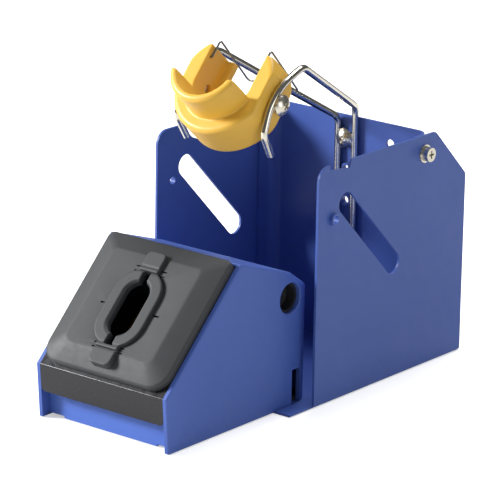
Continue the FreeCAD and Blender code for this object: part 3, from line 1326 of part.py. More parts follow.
def make_receptacle():
    """Moulded receptacle: thick open ring with two horns, and a thinner scoop in front."""
    body = new_body("Receptacle")
    ring = new_sketch(body, "XZ_Plane", "RingOuter", -ring_back)
    circle(ring, 0, 0, ring_radius)
    pad(body, ring, ring_front + ring_back)
    scoop = new_sketch(body, "XZ_Plane", "ScoopOuter", ring_front - 1)
    circle(scoop, 0, 0, scoop_radius)
    pad(body, scoop, scoop_front - ring_front + 1)
    round_edges(body, rim_round, lambda p, d, e: e.Closed and e.Curve.Radius > 15
                and any(close_to(p.y, y) for y in (-ring_front, ring_back, -scoop_front))
                and not (close_to(p.y, -ring_front) and e.Curve.Radius < number(ring_radius) - 1))

    flats = new_sketch(body, "XZ_Plane", "RingFlats", -(ring_back + 1))
    for sign in (-1, 1):
        near, far = flat_side * sign, (ring_radius + 2) * sign
        low, high = (far, near) if sign < 0 else (near, far)
        rectangle(flats, low, -ring_radius, high, ring_radius)
    pocket(body, flats, scoop_front + ring_back + 2, back=True)
    top = new_sketch(body, "XZ_Plane", "RingTop", -(ring_back + 1))
    rectangle(top, -ring_radius - 2, ring_top, ring_radius + 2, ring_radius + 5)
    pocket(body, top, scoop_front + ring_back + 2, back=True)
    brow = new_sketch(body, "XZ_Plane", "ScoopTop", ring_front)
    rectangle(brow, -ring_radius, -scoop_top, ring_radius, ring_radius + 5)
    pocket(body, brow, scoop_front - ring_front + 1, back=True)

    channel = new_sketch(body, "XZ_Plane", "Channel", -(ring_back - nose_length))
    channel_outline(channel, bore_radius)
    pocket(body, channel, scoop_front + ring_back + 5, back=True)
    nose = new_sketch(body, "XZ_Plane", "Nose", -(ring_back + 1))
    channel_outline(nose, nose_radius)
    pocket(body, nose, nose_length + 5, back=True)

    holes = new_sketch(body, "YZ_Plane", "PivotHoles")
    circle(holes, 0, 0, tap_radius + clear_fit)
    circle(holes, -horn_hole_front, horn_hole_top, bail_radius + clear_run)
    pocket(body, holes, ring_radius * 2 + 4, middle=True)

    keep(body, "iron_receptacle", IRON)


def channel_outline(sketch, radius):
    """A U that opens upwards: a half circle below straight sides."""
    up = Vector(0, 0, 1)
    reach = number(radius)
    high = number(ring_radius) + 6
    arc = sketch.addGeometry(Part.ArcOfCircle(
        Part.Circle(Vector(), up, reach), math.pi, 2 * math.pi), False)
    right = sketch.addGeometry(
        Part.LineSegment(Vector(reach, 0, 0), Vector(reach, high, 0)), False)
    top = sketch.addGeometry(
        Part.LineSegment(Vector(reach, high, 0), Vector(-reach, high, 0)), False)
    left = sketch.addGeometry(
        Part.LineSegment(Vector(-reach, high, 0), Vector(-reach, 0, 0)), False)
    for one, one_end, two, two_end in ((arc, 2, right, 1), (left, 2, arc, 1)):
        sketch.addConstraint(Sketcher.Constraint("Tangent", one, one_end, two, two_end))
    for one, two in ((right, top), (top, left)):
        sketch.addConstraint(Sketcher.Constraint("Coincident", one, 2, two, 1))
    sketch.addConstraint(Sketcher.Constraint("Vertical", right))
    sketch.addConstraint(Sketcher.Constraint("Vertical", left))
    sketch.addConstraint(Sketcher.Constraint("Horizontal", top))
    sketch.addConstraint(Sketcher.Constraint("Coincident", arc, 3, -1, 1))
    fix(sketch, "Radius", arc, radius)
    fix(sketch, "DistanceY", -1, 1, top, 1, ring_radius + 6)


def make_receptacle_screws():
    """Truss screws and washers that clamp the arms against the receptacle's sides."""
    screws, washers = [], []
    for side, sign in (("left", -1), ("right", 1)):
        start = washer_inner if sign > 0 else -(washer_inner + washer_thick)
        washers.append(cut(
            f"TiltWasherCut_{side}",
            bar(f"TiltWasher_{side}", truss_radius, washer_thick, start, 0, 0, "x"),
            bar(f"TiltWasherBore_{side}", tap_radius + clear_fit, 80, -40, 0, 0, "x")))
        turn = Rotation(Vector(0, 1, 0), 90 * sign)
        seat = (washer_inner + washer_thick) * sign
        screws.append(truss_profile(f"TiltTruss_{side}", truss_radius, truss_height,
                                    washer_inner + washer_thick - bore_radius - 1.5, seat, 0, 0,
                                    turn))
    keep(group("ReceptacleWashers", washers), "receptacle_washers", IRON)
    keep(group("ReceptacleScrews", screws), "receptacle_screws", IRON)


def make_bail():
    """Thin wire hooked into the horns, with a cross bar behind the receptacle."""
    x_out, x_leg = number(bore_radius) + 2, number(bore_radius) - number(bail_gap)
    y, z = -number(horn_hole_front), number(horn_hole_top)
    top, back = number(bail_top), number(bail_back)
    rear_z = number(ring_top) + number(bail_rise)
    points = [Vector(x_out, y, z), Vector(x_leg, y, z), Vector(x_leg, y, top),
              Vector(x_leg, back, rear_z), Vector(-x_leg, back, rear_z), Vector(-x_leg, y, top),
              Vector(-x_leg, y, z), Vector(-x_out, y, z)]
    bail = doc.addObject("Part::Feature", "RestBail")
    bail.Shape = swept_wire(rounded_path(points, [1.2, 1.5, 1.8, 1.8, 1.5, 1.2]),
                            number(bail_radius))
    keep(bail, "rest_bail", IRON)


make_case()
make_floor()
make_front_panel()
make_folded_plate()
make_cover()
make_lip()
make_chamber()
make_gear_plate()
make_bushes()
make_brush("left", -1)
make_brush("right", 1)
make_gears()
make_motor()
make_tray()
make_electrics()
make_holder_base()
make_bracket()
make_side_screws()
make_base_screws()
make_arms()
make_clamp()
make_receptacle()
make_receptacle_screws()
make_bail()
doc.recompute()

# ---------------------------------------------------------------- checks and export
for obj in doc.Objects:
    if "Invalid" in obj.State or "Error" in obj.State:
        raise RuntimeError(f"{obj.Name} failed: {obj.State}")
for label, obj in PARTS.items():
    if obj.Shape.isNull() or not obj.Shape.isValid() or not obj.Shape.Solids:
        raise RuntimeError(f"{label} has no valid solid")
for label, obj in PARTS.items():
    obj.Shape.exportStep(os.path.join("parts", f"{label}.step"))
    print(label, len(obj.Shape.Solids), round(obj.Shape.Volume, 1))
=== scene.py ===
import math

import bmesh
import bpy
from bpy.props import FloatProperty, FloatVectorProperty, IntProperty, PointerProperty
from mathutils import Matrix, Vector


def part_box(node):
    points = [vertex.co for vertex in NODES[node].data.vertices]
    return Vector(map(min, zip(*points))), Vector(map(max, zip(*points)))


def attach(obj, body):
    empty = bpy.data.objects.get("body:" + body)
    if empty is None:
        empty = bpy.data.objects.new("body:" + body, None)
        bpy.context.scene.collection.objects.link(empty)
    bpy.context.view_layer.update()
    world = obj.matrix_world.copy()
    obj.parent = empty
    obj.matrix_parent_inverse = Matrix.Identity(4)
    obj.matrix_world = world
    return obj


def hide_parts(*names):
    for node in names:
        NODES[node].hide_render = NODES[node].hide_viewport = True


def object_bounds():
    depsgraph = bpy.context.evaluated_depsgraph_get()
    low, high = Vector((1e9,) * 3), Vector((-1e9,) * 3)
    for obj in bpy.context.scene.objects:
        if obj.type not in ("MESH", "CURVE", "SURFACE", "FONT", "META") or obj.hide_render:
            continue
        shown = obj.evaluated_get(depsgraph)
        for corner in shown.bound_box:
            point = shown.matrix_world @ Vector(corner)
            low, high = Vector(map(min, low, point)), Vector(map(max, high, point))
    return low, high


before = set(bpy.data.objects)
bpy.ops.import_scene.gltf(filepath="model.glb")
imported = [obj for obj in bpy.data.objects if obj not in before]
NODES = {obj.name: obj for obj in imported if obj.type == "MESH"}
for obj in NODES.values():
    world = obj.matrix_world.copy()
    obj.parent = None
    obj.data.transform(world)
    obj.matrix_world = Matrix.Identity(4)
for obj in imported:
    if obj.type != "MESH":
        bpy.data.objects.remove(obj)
CAD_BOX = [list(corner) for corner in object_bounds()]

bl_info = {
    "name": "Soldering Station",
    "version": (1, 0, 0),
    "blender": (4, 5, 0),
    "location": "View3D > Sidebar > Station",
    "description": "Finishes, rubber, resin and bristles for a soldering iron station",
    "category": "Object",
}

MM = 0.001
SLOPE = math.radians(45)
GOLDEN_ANGLE = math.pi * (3 - math.sqrt(5))
GAP = 0.1 * MM  # between the cover and what it meets
BEYOND = 5 * MM  # how far a cutting block runs past what it cuts
CRISP = 0.1 * MM  # corner radius of the thin slits
SLIT_BLOCK = 9 * MM  # height of the blocks that cut the slits
OVAL = 0.99  # end radius of an oval, as a share of its half width
HOLE_OVAL = 0.995  # the same for the hole in the cover
INNER_RADII = (0.4 * MM, 0.3 * MM, 2 * MM, 0.3 * MM)  # cover's roundings, from the ring inwards
LIP_VOXEL, LIP_ROUNDS = 0.3 * MM, 3  # remesh size and smoothing of the lip
RESIN_VOXEL, RESIN_ROUNDS = 0.42 * MM, 6  # and of the receptacle
ROOTED = 0.2 * MM  # how far inside their core the bristles start
TRIMMED = 0.1 * MM  # how far short of the pack's outline they end
LEAN = (0.16, 0.16, 0.3)  # how much a bristle's direction may wander on each axis
SENSOR = 36  # millimetres
FLOOR_HALF = 4.0  # metres
AIM = Vector((0.0045, -0.0045, 0.0681))  # the point the camera looks at

# each light: the width of its square, and its place
KEY_LIGHT = (0.45, Vector((-1.35, -0.95, 0.8)))
FILL_LIGHT = (0.8, Vector((1.35, -0.25, 0.4)))
TOP_LIGHT = (0.8, Vector((0.0, 0.6, 1.45)))


def linear(code):
    """An sRGB hex colour as linear red, green, blue and alpha."""
    parts = [int(code[i:i + 2], 16) / 255 for i in (1, 3, 5)]
    curve = [c / 12.92 if c <= 0.04045 else ((c + 0.055) / 1.055) ** 2.4 for c in parts]
    return (*curve, 1.0)


def length(name, description, millimetres):
    """A length property, given in millimetres and kept in metres."""
    return FloatProperty(name=name, description=description, default=millimetres * MM,
                         subtype="DISTANCE", unit="LENGTH", precision=5)


def colour(name, description, code):
    return FloatVectorProperty(name=name, description=description, default=linear(code),
                               size=4, min=0, max=1, subtype="COLOR")


# ---------------------------------------------------------------- settings
class StationColours(bpy.types.PropertyGroup):
    """Colours of the station's finishes."""

    sheet_blue: colour("Sheet Blue", "Powder coat on the holder and its bracket", "#465FA8")
    case_blue: colour("Case Blue", "Moulded case of the cleaner", "#4862AE")
    # the panel's own blue, made lighter than the case blue as painted light on the front-facing
    # panel
    panel_blue: colour("Panel Blue", "Recessed front panel of the cleaner", "#5070C4")
    plate_grey: colour("Plate Grey", "Folded plate under the rubber", "#3C3C3F")
    rubber_grey: colour("Rubber Grey", "Cover and lip", "#3A3C3F")
    resin_yellow: colour("Resin Yellow", "Receptacle for the iron", "#E1B142")
    nickel: colour("Nickel", "Plating on the arms and the screws", "#DCD6C8")
    brass: colour("Brass", "Fine wire of the brushes", "#C79A4A")


class StationRubber(bpy.types.PropertyGroup):
    """Sizes of the rubber cover and its lip, measured on the slope."""

    slope_length: length("Slope Length", "Fold to ridge, along the slope", 74.2)
    side: length("Half Width", "Cover, from its middle to its side", 37.2)
    low: length("Low Edge", "Lower edge, up from the fold", 2.0)
    high: length("High Edge", "Upper edge, up from the fold", 73.4)
    rise: length("Plateau Height", "Plateau over the plate", 7.0)
    rim: length("Rim Height", "Upright rim at the outer edge", 3.7)
    bevel_side: length("Side Bevel", "Width of the bevel at the sides", 10.3)
    bevel_low: length("Low Bevel", "Width of the bevel at the lower end", 10.0)
    bevel_high: length("High Bevel", "Width of the bevel at the upper end", 9.2)
    corner_low: length("Low Corner", "Corner radius at the lower end", 9.5)
    corner_high: length("High Corner", "Corner radius at the upper end", 3.2)
    plateau_low: length("Plateau Low Corner", "Plateau's corner radius, lower end", 5.0)
    plateau_high: length("Plateau High Corner", "Plateau's corner radius, upper end", 2.5)
    soft_rim: length("Rim Softness", "Rounding where the rim turns into the bevel", 1.1)
    soft_edge: length("Edge Softness", "Rounding where the bevel meets the plateau", 1.0)
    wall: length("Wall", "Thickness of the rubber", 2.4)
    mouth_middle: length("Mouth Middle", "Middle of the mouth, up from the fold", 35.5)
    mouth_width: length("Mouth Width", "Opening, across the slope", 14.0)
    mouth_length: length("Mouth Length", "Opening, up the slope", 29.0)
    ring_width: length("Ring Width", "Raised ring round the mouth", 6.5)
    ring_rise: length("Ring Rise", "Ring over the plateau", 1.9)
    neck_width: length("Neck Width", "Narrow ends of the mouth", 4.5)
    neck_length: length("Neck Length", "Length of each narrow end", 5.5)
    neck_corner: length("Neck Corner", "Corner radius of the narrow ends", 0.4)
    tab_top: length("Upper Tab", "Half width of the upper tab", 5.4)
    tab_low: length("Lower Tab", "Half width of the lower tab", 6.4)
    tab_reach: length("Tab Reach", "How far each tab runs past the ring", 9.6)
    tab_root: length("Tab Root", "How far each tab runs into the ring", 3.0)
    tab_top_corner: length("Upper Tab Corner", "Corner radius at its free end", 2.2)
    tab_low_corner: length("Lower Tab Corner", "Corner radius at its free end", 3.0)
    tab_root_corner: length("Tab Root Corner", "Corner radius inside the ring", 0.5)
    tab_sink: length("Tab Sink", "How deep the upper tab sinks into the plateau", 0.5)
    mouth_flare: length("Mouth Flare", "Chamfer round the opening", 1.1)
    slit: length("Slit Width", "Thin cuts between ring and tabs", 0.75)
    slit_below: length("Lower Slit", "First cut of each pair, below the ring's end", 1.6)
    slit_above: length("Upper Slit", "Second cut of each pair, above the ring's end", 0.9)
    slit_cover: length("Slit Depth, Cover", "How deep they go into the plateau", 0.9)
    slit_lip: length("Slit Depth, Lip", "How deep they go into the tabs", 1.2)
    slit_reach: length("Slit Reach", "Half length of those cuts", 9.25)
    mark: length("Mark Length", "Short cuts beside the ring", 4.2)
    mark_half: length("Mark Half Width", "Half width of those cuts", 0.45)
    mark_depth: length("Mark Depth", "Their depth", 1.0)


class StationBrushes(bpy.types.PropertyGroup):
    """The two cleaning brushes."""

    count: IntProperty(name="Bristles", description="Bristles on each brush", default=2600,
                       min=100, max=6000)
    wire: length("Bristle Radius", "Radius of one bristle, thicker than real so that it shows",
                 0.14)
    seed: IntProperty(name="Seed", description="Fixed seed of the bristles' lean", default=7)


class StationStage(bpy.types.PropertyGroup):
    """Camera and light."""

    azimuth: FloatProperty(name="Azimuth", description="Camera round the object",
                           default=math.radians(38.78), subtype="ANGLE")
    elevation: FloatProperty(name="Elevation", description="Camera over the horizon",
                             default=math.radians(17.03), subtype="ANGLE")
    roll: FloatProperty(name="Roll", description="Camera turned about its own axis",
                        default=math.radians(1.02), subtype="ANGLE")
    distance: FloatProperty(name="Distance", description="Camera to the point it looks at",
                            default=1.6566, subtype="DISTANCE", unit="LENGTH")
    lens: FloatProperty(name="Lens", description="Focal length on a 36 mm sensor",
                        default=249.3, subtype="DISTANCE_CAMERA")
    key: FloatProperty(name="Key Light", description="Soft light from the left in front",
                       default=50, subtype="POWER")
    fill: FloatProperty(name="Fill Light", description="Soft light from the right", default=3.8,
                        subtype="POWER")
    top: FloatProperty(name="Top Light", description="Soft light from above", default=19,
                       subtype="POWER")
    sky: FloatProperty(name="Surround", description="Strength of the pale surround", default=0.13)
    glow: FloatProperty(name="Floor Glow", description="Light added to the floor as it is seen",
                        default=0.5)


# ---------------------------------------------------------------- material helpers
def add(tree, kind, sockets=None, **settings):
    """Add one node, apply its settings, then set or link the named sockets."""
    node = tree.nodes.new(kind)
    for name, value in settings.items():
        setattr(node, name, value)
    for name, value in (sockets or {}).items():
        if isinstance(value, bpy.types.NodeSocket):
            tree.links.new(value, node.inputs[name])
        else:
            node.inputs[name].default_value = value
    return node


def new_material(name):
    """An empty node material: its tree, its shader and its Object coordinates."""
    material = bpy.data.materials.new(name)
    material.use_nodes = True
    tree = material.node_tree
    tree.nodes.clear()
    shader = add(tree, "ShaderNodeBsdfPrincipled")
    add(tree, "ShaderNodeOutputMaterial", {"Surface": shader.outputs["BSDF"]})
    coords = add(tree, "ShaderNodeTexCoord").outputs["Object"]
    return material, tree, shader, coords


def grain(tree, coords, millimetres, detail=2.0, stretch=(1, 1, 1)):
    """Noise whose cells are about this many millimetres across."""
    scaled = add(tree, "ShaderNodeMapping", {"Vector": coords, "Scale": stretch})
    return add(tree, "ShaderNodeTexNoise",
               {"Vector": scaled.outputs["Vector"], "Scale": 1 / (millimetres * MM),
                "Detail": detail}).outputs["Fac"]


def spread(tree, factor, low, high):
    """Turn a noise pattern, which mostly lies in 0.3 to 0.7, into a number from low to high."""
    return add(tree, "ShaderNodeMapRange",
               {"Value": factor, "From Min": 0.3, "From Max": 0.7, "To Min": low,
                "To Max": high}).outputs["Result"]


def tint(tree, factor, base, shade, light):
    """A colour that drifts between a darker and a lighter version of itself."""
    dark = tuple(c * shade for c in base[:3]) + (1.0,)
    pale = tuple(min(1.0, c * light) for c in base[:3]) + (1.0,)
    return mix(tree, factor, dark, pale)


def mix(tree, factor, one, two):
    """Blend two colours by a pattern."""
    # inputs 6 and 7 and output 2 are the node's colour sockets
    return add(tree, "ShaderNodeMix", {0: factor, 6: one, 7: two}, data_type="RGBA").outputs[2]


def relief(tree, shader, height, millimetres):
    """Bump of a given depth."""
    bump = add(tree, "ShaderNodeBump",
               {"Height": height, "Distance": millimetres * MM, "Strength": 1.0})
    tree.links.new(bump.outputs["Normal"], shader.inputs["Normal"])


def surface(shader, **values):
    """Plain numbers on the shader's own sockets."""
    for name, value in values.items():
        shader.inputs[name.replace("_", " ").title().replace("Ior", "IOR")].default_value = value


# ---------------------------------------------------------------- finishes
def powder_coat(base):
    """Powder coat on steel: satin, with the faint orange peel that baking leaves."""
    material, tree, shader, coords = new_material("powder_coated_steel_blue")
    broad = grain(tree, coords, 34)
    tree.links.new(tint(tree, broad, base, 0.94, 1.06), shader.inputs["Base Color"])
    peel = grain(tree, coords, 0.9, 1.5)
    tree.links.new(spread(tree, grain(tree, coords, 6), 0.36, 0.44), shader.inputs["Roughness"])
    relief(tree, shader, peel, 0.012)
    surface(shader, ior=1.5, specular_ior_level=0.35)
    return material


def moulded_abs(name, base):
    """ABS from a spark-textured mould: fine even grain that scatters the light."""
    material, tree, shader, coords = new_material(name)
    broad = grain(tree, coords, 28)
    tree.links.new(tint(tree, broad, base, 0.95, 1.05), shader.inputs["Base Color"])
    tree.links.new(spread(tree, grain(tree, coords, 4), 0.42, 0.5), shader.inputs["Roughness"])
    relief(tree, shader, grain(tree, coords, 0.4, 3), 0.014)
    surface(shader, ior=1.53, specular_ior_level=0.3)
    return material


def metallic_lacquer(base):
    """Dark lacquer with fine metal flake over folded sheet: a soft even sheen."""
    material, tree, shader, coords = new_material("dark_metallic_lacquer")
    flake = grain(tree, coords, 0.25, 1)
    tree.links.new(tint(tree, flake, base, 0.92, 1.1), shader.inputs["Base Color"])
    tree.links.new(spread(tree, grain(tree, coords, 5), 0.24, 0.34), shader.inputs["Roughness"])
    surface(shader, metallic=0.8)
    return material


def silicone_rubber(base):
    """Moulded silicone rubber: matt and fine grained, with a thin bloom of dust."""
    material, tree, shader, coords = new_material("moulded_silicone_rubber")
    dust = spread(tree, grain(tree, coords, 9, 4), 0, 1)
    tree.links.new(tint(tree, dust, base, 0.96, 1.05), shader.inputs["Base Color"])
    tree.links.new(spread(tree, grain(tree, coords, 2.5, 3), 0.52, 0.58),
                   shader.inputs["Roughness"])
    relief(tree, shader, grain(tree, coords, 0.5, 3), 0.03)
    surface(shader, ior=1.5, specular_ior_level=0.4)
    return material


def black_rubber():
    """Black rubber of the feet: dull, with a slightly open grain."""
    material, tree, shader, coords = new_material("black_nitrile_rubber")
    fine = grain(tree, coords, 0.6, 3)
    tree.links.new(tint(tree, fine, linear("#1C1C1D"), 0.85, 1.2), shader.inputs["Base Color"])
    surface(shader, roughness=0.75)
    relief(tree, shader, fine, 0.03)
    return material


def moulded_resin(base):
    """Heat-proof moulded resin: warm satin yellow, with faint flow clouds under the skin."""
    material, tree, shader, coords = new_material("moulded_heatproof_resin")
    flow = grain(tree, coords, 14, 3, (1, 0.5, 1))
    tree.links.new(tint(tree, flow, base, 0.95, 1.04), shader.inputs["Base Color"])
    tree.links.new(spread(tree, grain(tree, coords, 3), 0.36, 0.46), shader.inputs["Roughness"])
    relief(tree, shader, grain(tree, coords, 0.7, 2), 0.01)
    surface(shader, ior=1.5)
    return material


def nickel_plate(name, base, smooth, rough):
    """Bright nickel plate on drawn or headed steel: mirror-like with a soft haze."""
    material, tree, shader, coords = new_material(name)
    haze = grain(tree, coords, 1.6, 4)
    tree.links.new(tint(tree, haze, base, 0.93, 1.03), shader.inputs["Base Color"])
    tree.links.new(spread(tree, haze, smooth, rough), shader.inputs["Roughness"])
    relief(tree, shader, grain(tree, coords, 0.5, 2, (1, 0.2, 1)), 0.003)
    surface(shader, metallic=1.0)
    return material


def spring_wire():
    """Bare spring steel wire: darker than plate, with fine marks along it from drawing."""
    material, tree, shader, coords = new_material("drawn_spring_wire")
    lines = grain(tree, coords, 0.7, 3, (1, 0.2, 0.2))
    tree.links.new(tint(tree, lines, linear("#8C8A86"), 0.7, 1.15), shader.inputs["Base Color"])
    tree.links.new(spread(tree, lines, 0.24, 0.4), shader.inputs["Roughness"])
    surface(shader, metallic=1.0)
    return material


def zinc_plate():
    """Zinc-plated steel of the hidden frame: bluish grey with a cloudy crystal bloom."""
    material, tree, shader, coords = new_material("zinc_plated_steel")
    bloom = grain(tree, coords, 2.2, 4)
    tree.links.new(tint(tree, bloom, linear("#B4B8BE"), 0.82, 1.1), shader.inputs["Base Color"])
    tree.links.new(spread(tree, bloom, 0.28, 0.46), shader.inputs["Roughness"])
    relief(tree, shader, bloom, 0.004)
    surface(shader, metallic=1.0)
    return material


def sintered_bronze():
    """Oil-filled sintered bronze: dull brown metal, full of tiny pores."""
    material, tree, shader, coords = new_material("sintered_bronze")
    pores = grain(tree, coords, 0.2, 2)
    tree.links.new(tint(tree, pores, linear("#9A6A3C"), 0.6, 1.15), shader.inputs["Base Color"])
    tree.links.new(spread(tree, pores, 0.6, 0.38), shader.inputs["Roughness"])
    relief(tree, shader, pores, 0.02)
    surface(shader, metallic=1.0)
    return material


def drawn_brass(base):
    """Fine drawn brass wire: warm, with heat stain from one wire to the next."""
    material, tree, shader, coords = new_material("drawn_brass_wire")
    stain = grain(tree, coords, 1.8, 3)
    tree.links.new(mix(tree, spread(tree, stain, 0, 1), linear("#7A5528"), base),
                   shader.inputs["Base Color"])
    surface(shader, metallic=1.0, roughness=0.34)
    return material


def black_nylon():
    """Glass-filled black nylon: near black, with a dull fibrous skin."""
    material, tree, shader, coords = new_material("glass_filled_nylon")
    fibre = grain(tree, coords, 0.8, 3, (1, 0.3, 1))
    tree.links.new(tint(tree, fibre, linear("#202124"), 0.8, 1.25), shader.inputs["Base Color"])
    tree.links.new(spread(tree, fibre, 0.5, 0.64), shader.inputs["Roughness"])
    relief(tree, shader, fibre, 0.012)
    return material


def natural_acetal():
    """Natural acetal of the gears: slippery, waxy off-white."""
    material, tree, shader, coords = new_material("natural_acetal")
    wax = grain(tree, coords, 3, 2)
    tree.links.new(tint(tree, wax, linear("#E4E1D6"), 0.95, 1.03), shader.inputs["Base Color"])
    tree.links.new(spread(tree, wax, 0.28, 0.38), shader.inputs["Roughness"])
    surface(shader, subsurface_weight=0.1, subsurface_scale=0.002)
    return material


def solder_mask():
    """Green solder mask over copper: paler tracks show through in straight runs."""
    material, tree, shader, coords = new_material("green_solder_mask")
    tracks = add(tree, "ShaderNodeTexBrick",
                 {"Vector": coords, "Color1": (0, 0, 0, 1), "Color2": (1, 1, 1, 1),
                  "Mortar": (1, 1, 1, 1), "Scale": 1 / (6 * MM), "Mortar Size": 0.04})
    height = add(tree, "ShaderNodeRGBToBW", {"Color": tracks.outputs["Color"]}).outputs["Val"]
    tree.links.new(mix(tree, height, linear("#0E4A2A"), linear("#1F6A3C")),
                   shader.inputs["Base Color"])
    relief(tree, shader, height, 0.03)
    surface(shader, roughness=0.3)
    return material


# ---------------------------------------------------------------- mesh helpers
def paint(material, *names):
    """Give CAD nodes their finish."""
    for name in names:
        mesh = NODES[name].data
        mesh.materials.clear()
        mesh.materials.append(material)


def new_piece(name, mesh, material, body, slot, *nodes):
    """Finish a mesh as a piece that stands for CAD nodes and rides on a body."""
    piece = bpy.data.objects.new(name, mesh)
    bpy.context.scene.collection.objects.link(piece)
    mesh.materials.clear()
    mesh.materials.append(material)
    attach(piece, body)
    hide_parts(*nodes)
    return piece


def shade(mesh, angle):
    """Smooth shading, apart from edges sharper than the angle."""
    mesh.shade_smooth()
    mesh.set_sharp_from_angle(angle=math.radians(angle))


def evaluated(obj):
    """A plain mesh of an object with its modifiers, which are then removed with it."""
    bpy.context.view_layer.update()
    graph = bpy.context.evaluated_depsgraph_get()
    mesh = bpy.data.meshes.new_from_object(obj.evaluated_get(graph))
    bpy.data.objects.remove(obj)
    return mesh


def scratch(name, mesh):
    """A working object that is removed again by evaluated()."""
    obj = bpy.data.objects.new(name, mesh)
    bpy.context.scene.collection.objects.link(obj)
    return obj


def slope_frame(rubber):
    """Turns x, distance up the slope and height over it into the station's own frame."""
    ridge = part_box("cleaner_case")[1].z
    fold = Vector((0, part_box("folded_plate")[0].y, ridge - rubber.slope_length * math.sin(SLOPE)))
    return Matrix.Translation(fold) @ Matrix.Rotation(SLOPE, 4, "X")


def rounded_loop(x_half, low, high, r_low, r_high, arc=12, side=6):
    """Points round a box with rounded corners, from the lower right corner, anticlockwise."""
    low_y, high_y = low + r_low, high - r_high
    corners = ((x_half - r_low, low_y, r_low, -90), (x_half - r_high, high_y, r_high, 0),
               (r_high - x_half, high_y, r_high, 90), (r_low - x_half, low_y, r_low, 180))
    loop = []
    for i, (x, y, radius, start) in enumerate(corners):
        for k in range(arc + 1):
            turn = math.radians(start + 90 * k / arc)
            loop.append(Vector((x + radius * math.cos(turn), y + radius * math.sin(turn))))
        x_next, y_next, r_next, s_next = corners[(i + 1) % 4]
        turn = math.radians(s_next)
        target = Vector((x_next + r_next * math.cos(turn), y_next + r_next * math.sin(turn)))
        here = loop[-1].copy()
        loop.extend(here.lerp(target, k / side) for k in range(1, side))
    return loop


def oval(x_half, middle, reach, share=OVAL):
    """Points round a long oval whose ends are almost half circles."""
    return rounded_loop(x_half, middle - reach, middle + reach, x_half * share, x_half * share)


def soften(path, radii, steps=5):
    """Round the corners of an open path of (inset, height) points."""
    result = [Vector(path[0])]
    for before, corner, after, radius in zip(path, path[1:], path[2:], radii):
        here = Vector(corner)
        one, two = Vector(before) - here, Vector(after) - here
        reach = min(radius, one.length * 0.48, two.length * 0.48)
        start, end = here + one.normalized() * reach, here + two.normalized() * reach
        for k in range(steps + 1):
            t = k / steps
            result.append(start.lerp(here, t).lerp(here.lerp(end, t), t))
    result.append(Vector(path[-1]))
    return result


# ---------------------------------------------------------------- pieces
def cover_mesh(rubber):
    """Rubber cover: loops from the rim over the bevel and plateau, and back underneath."""
    bevel, plateau = rubber.bevel_side, rubber.rise
    middle, ring = rubber.mouth_middle, rubber.mouth_width / 2 + rubber.ring_width + GAP
    reach = rubber.mouth_length / 2 + rubber.ring_width + GAP
    inner = rubber.side - bevel
    base = rounded_loop(rubber.side, rubber.low, rubber.high, rubber.corner_low,
                        rubber.corner_high)
    top = rounded_loop(inner, rubber.low + rubber.bevel_low, rubber.high - rubber.bevel_high,
                       rubber.plateau_low, rubber.plateau_high)
    hole = oval(ring, middle, reach, HOLE_OVAL)
    edge = inner - ring + bevel
    under = plateau - rubber.wall
    path = soften([(0, GAP), (0, rubber.rim), (bevel, plateau), (edge, plateau),
                   (edge, under), (bevel + rubber.wall / 2, under), (rubber.wall, GAP), (0, GAP)],
                  [rubber.soft_rim, rubber.soft_edge, *INNER_RADII])[:-1]
    mesh = bmesh.new()
    loops = []
    for inset, height in path:
        share = inset / bevel
        if share <= 1:
            ring_points = [a.lerp(b, share) for a, b in zip(base, top)]
        else:
            share = (inset - bevel) / (edge - bevel)
            ring_points = [a.lerp(b, share) for a, b in zip(top, hole)]
        loops.append([mesh.verts.new((p.x, p.y, height)) for p in ring_points])
    count = len(base)
    for one, two in zip(loops, loops[1:] + loops[:1]):
        for i in range(count):
            k = (i + 1) % count
            mesh.faces.new((one[i], one[k], two[k], two[i]))
    bmesh.ops.remove_doubles(mesh, verts=mesh.verts, dist=1e-6)
    bmesh.ops.recalc_face_normals(mesh, faces=mesh.faces)
    data = bpy.data.meshes.new("rubber_cover")
    mesh.to_mesh(data)
    mesh.free()
    data = combined(data, [], slits(rubber, plateau - rubber.slit_cover) + marks(rubber, ring))
    data.transform(slope_frame(rubber))
    shade(data, 50)
    return data


def slits(rubber, depth):
    """Blocks that cut the pairs of thin slits across the joins of ring and tabs."""
    middle, reach = rubber.mouth_middle, rubber.mouth_length / 2 + rubber.ring_width
    blocks = []
    for centre in (middle - reach, middle + reach):
        for low in (centre - rubber.slit_below, centre + rubber.slit_above):
            blocks.append(prism(rounded_loop(rubber.slit_reach, low, low + rubber.slit,
                                             CRISP, CRISP), depth, depth + SLIT_BLOCK))
    return blocks


def marks(rubber, ring):
    """Blocks that cut one short mark into the plateau on each side of the ring."""
    middle, half, start = rubber.mouth_middle, rubber.mark_half, -1 * MM
    blocks = []
    for sign in (-1, 1):
        outline = [Vector((sign * ring + x, middle + y)) for x, y in
                   ((start, -half), (sign * rubber.mark, -half), (sign * rubber.mark, half),
                    (start, half))]
        blocks.append(prism(outline, rubber.rise - rubber.mark_depth, rubber.rise + BEYOND))
    return blocks


def prism(loop, low, high, top=None):
    """A closed block over an outline, which may end in another outline of as many points."""
    mesh = bmesh.new()
    one = [mesh.verts.new((p.x, p.y, low)) for p in loop]
    two = [mesh.verts.new((p.x, p.y, high)) for p in top or loop]
    mesh.faces.new(one)
    mesh.faces.new(two)
    for i in range(len(one)):
        mesh.faces.new((one[i - 1], one[i], two[i], two[i - 1]))
    bmesh.ops.recalc_face_normals(mesh, faces=mesh.faces)
    data = bpy.data.meshes.new("prism")
    mesh.to_mesh(data)
    mesh.free()
    return data


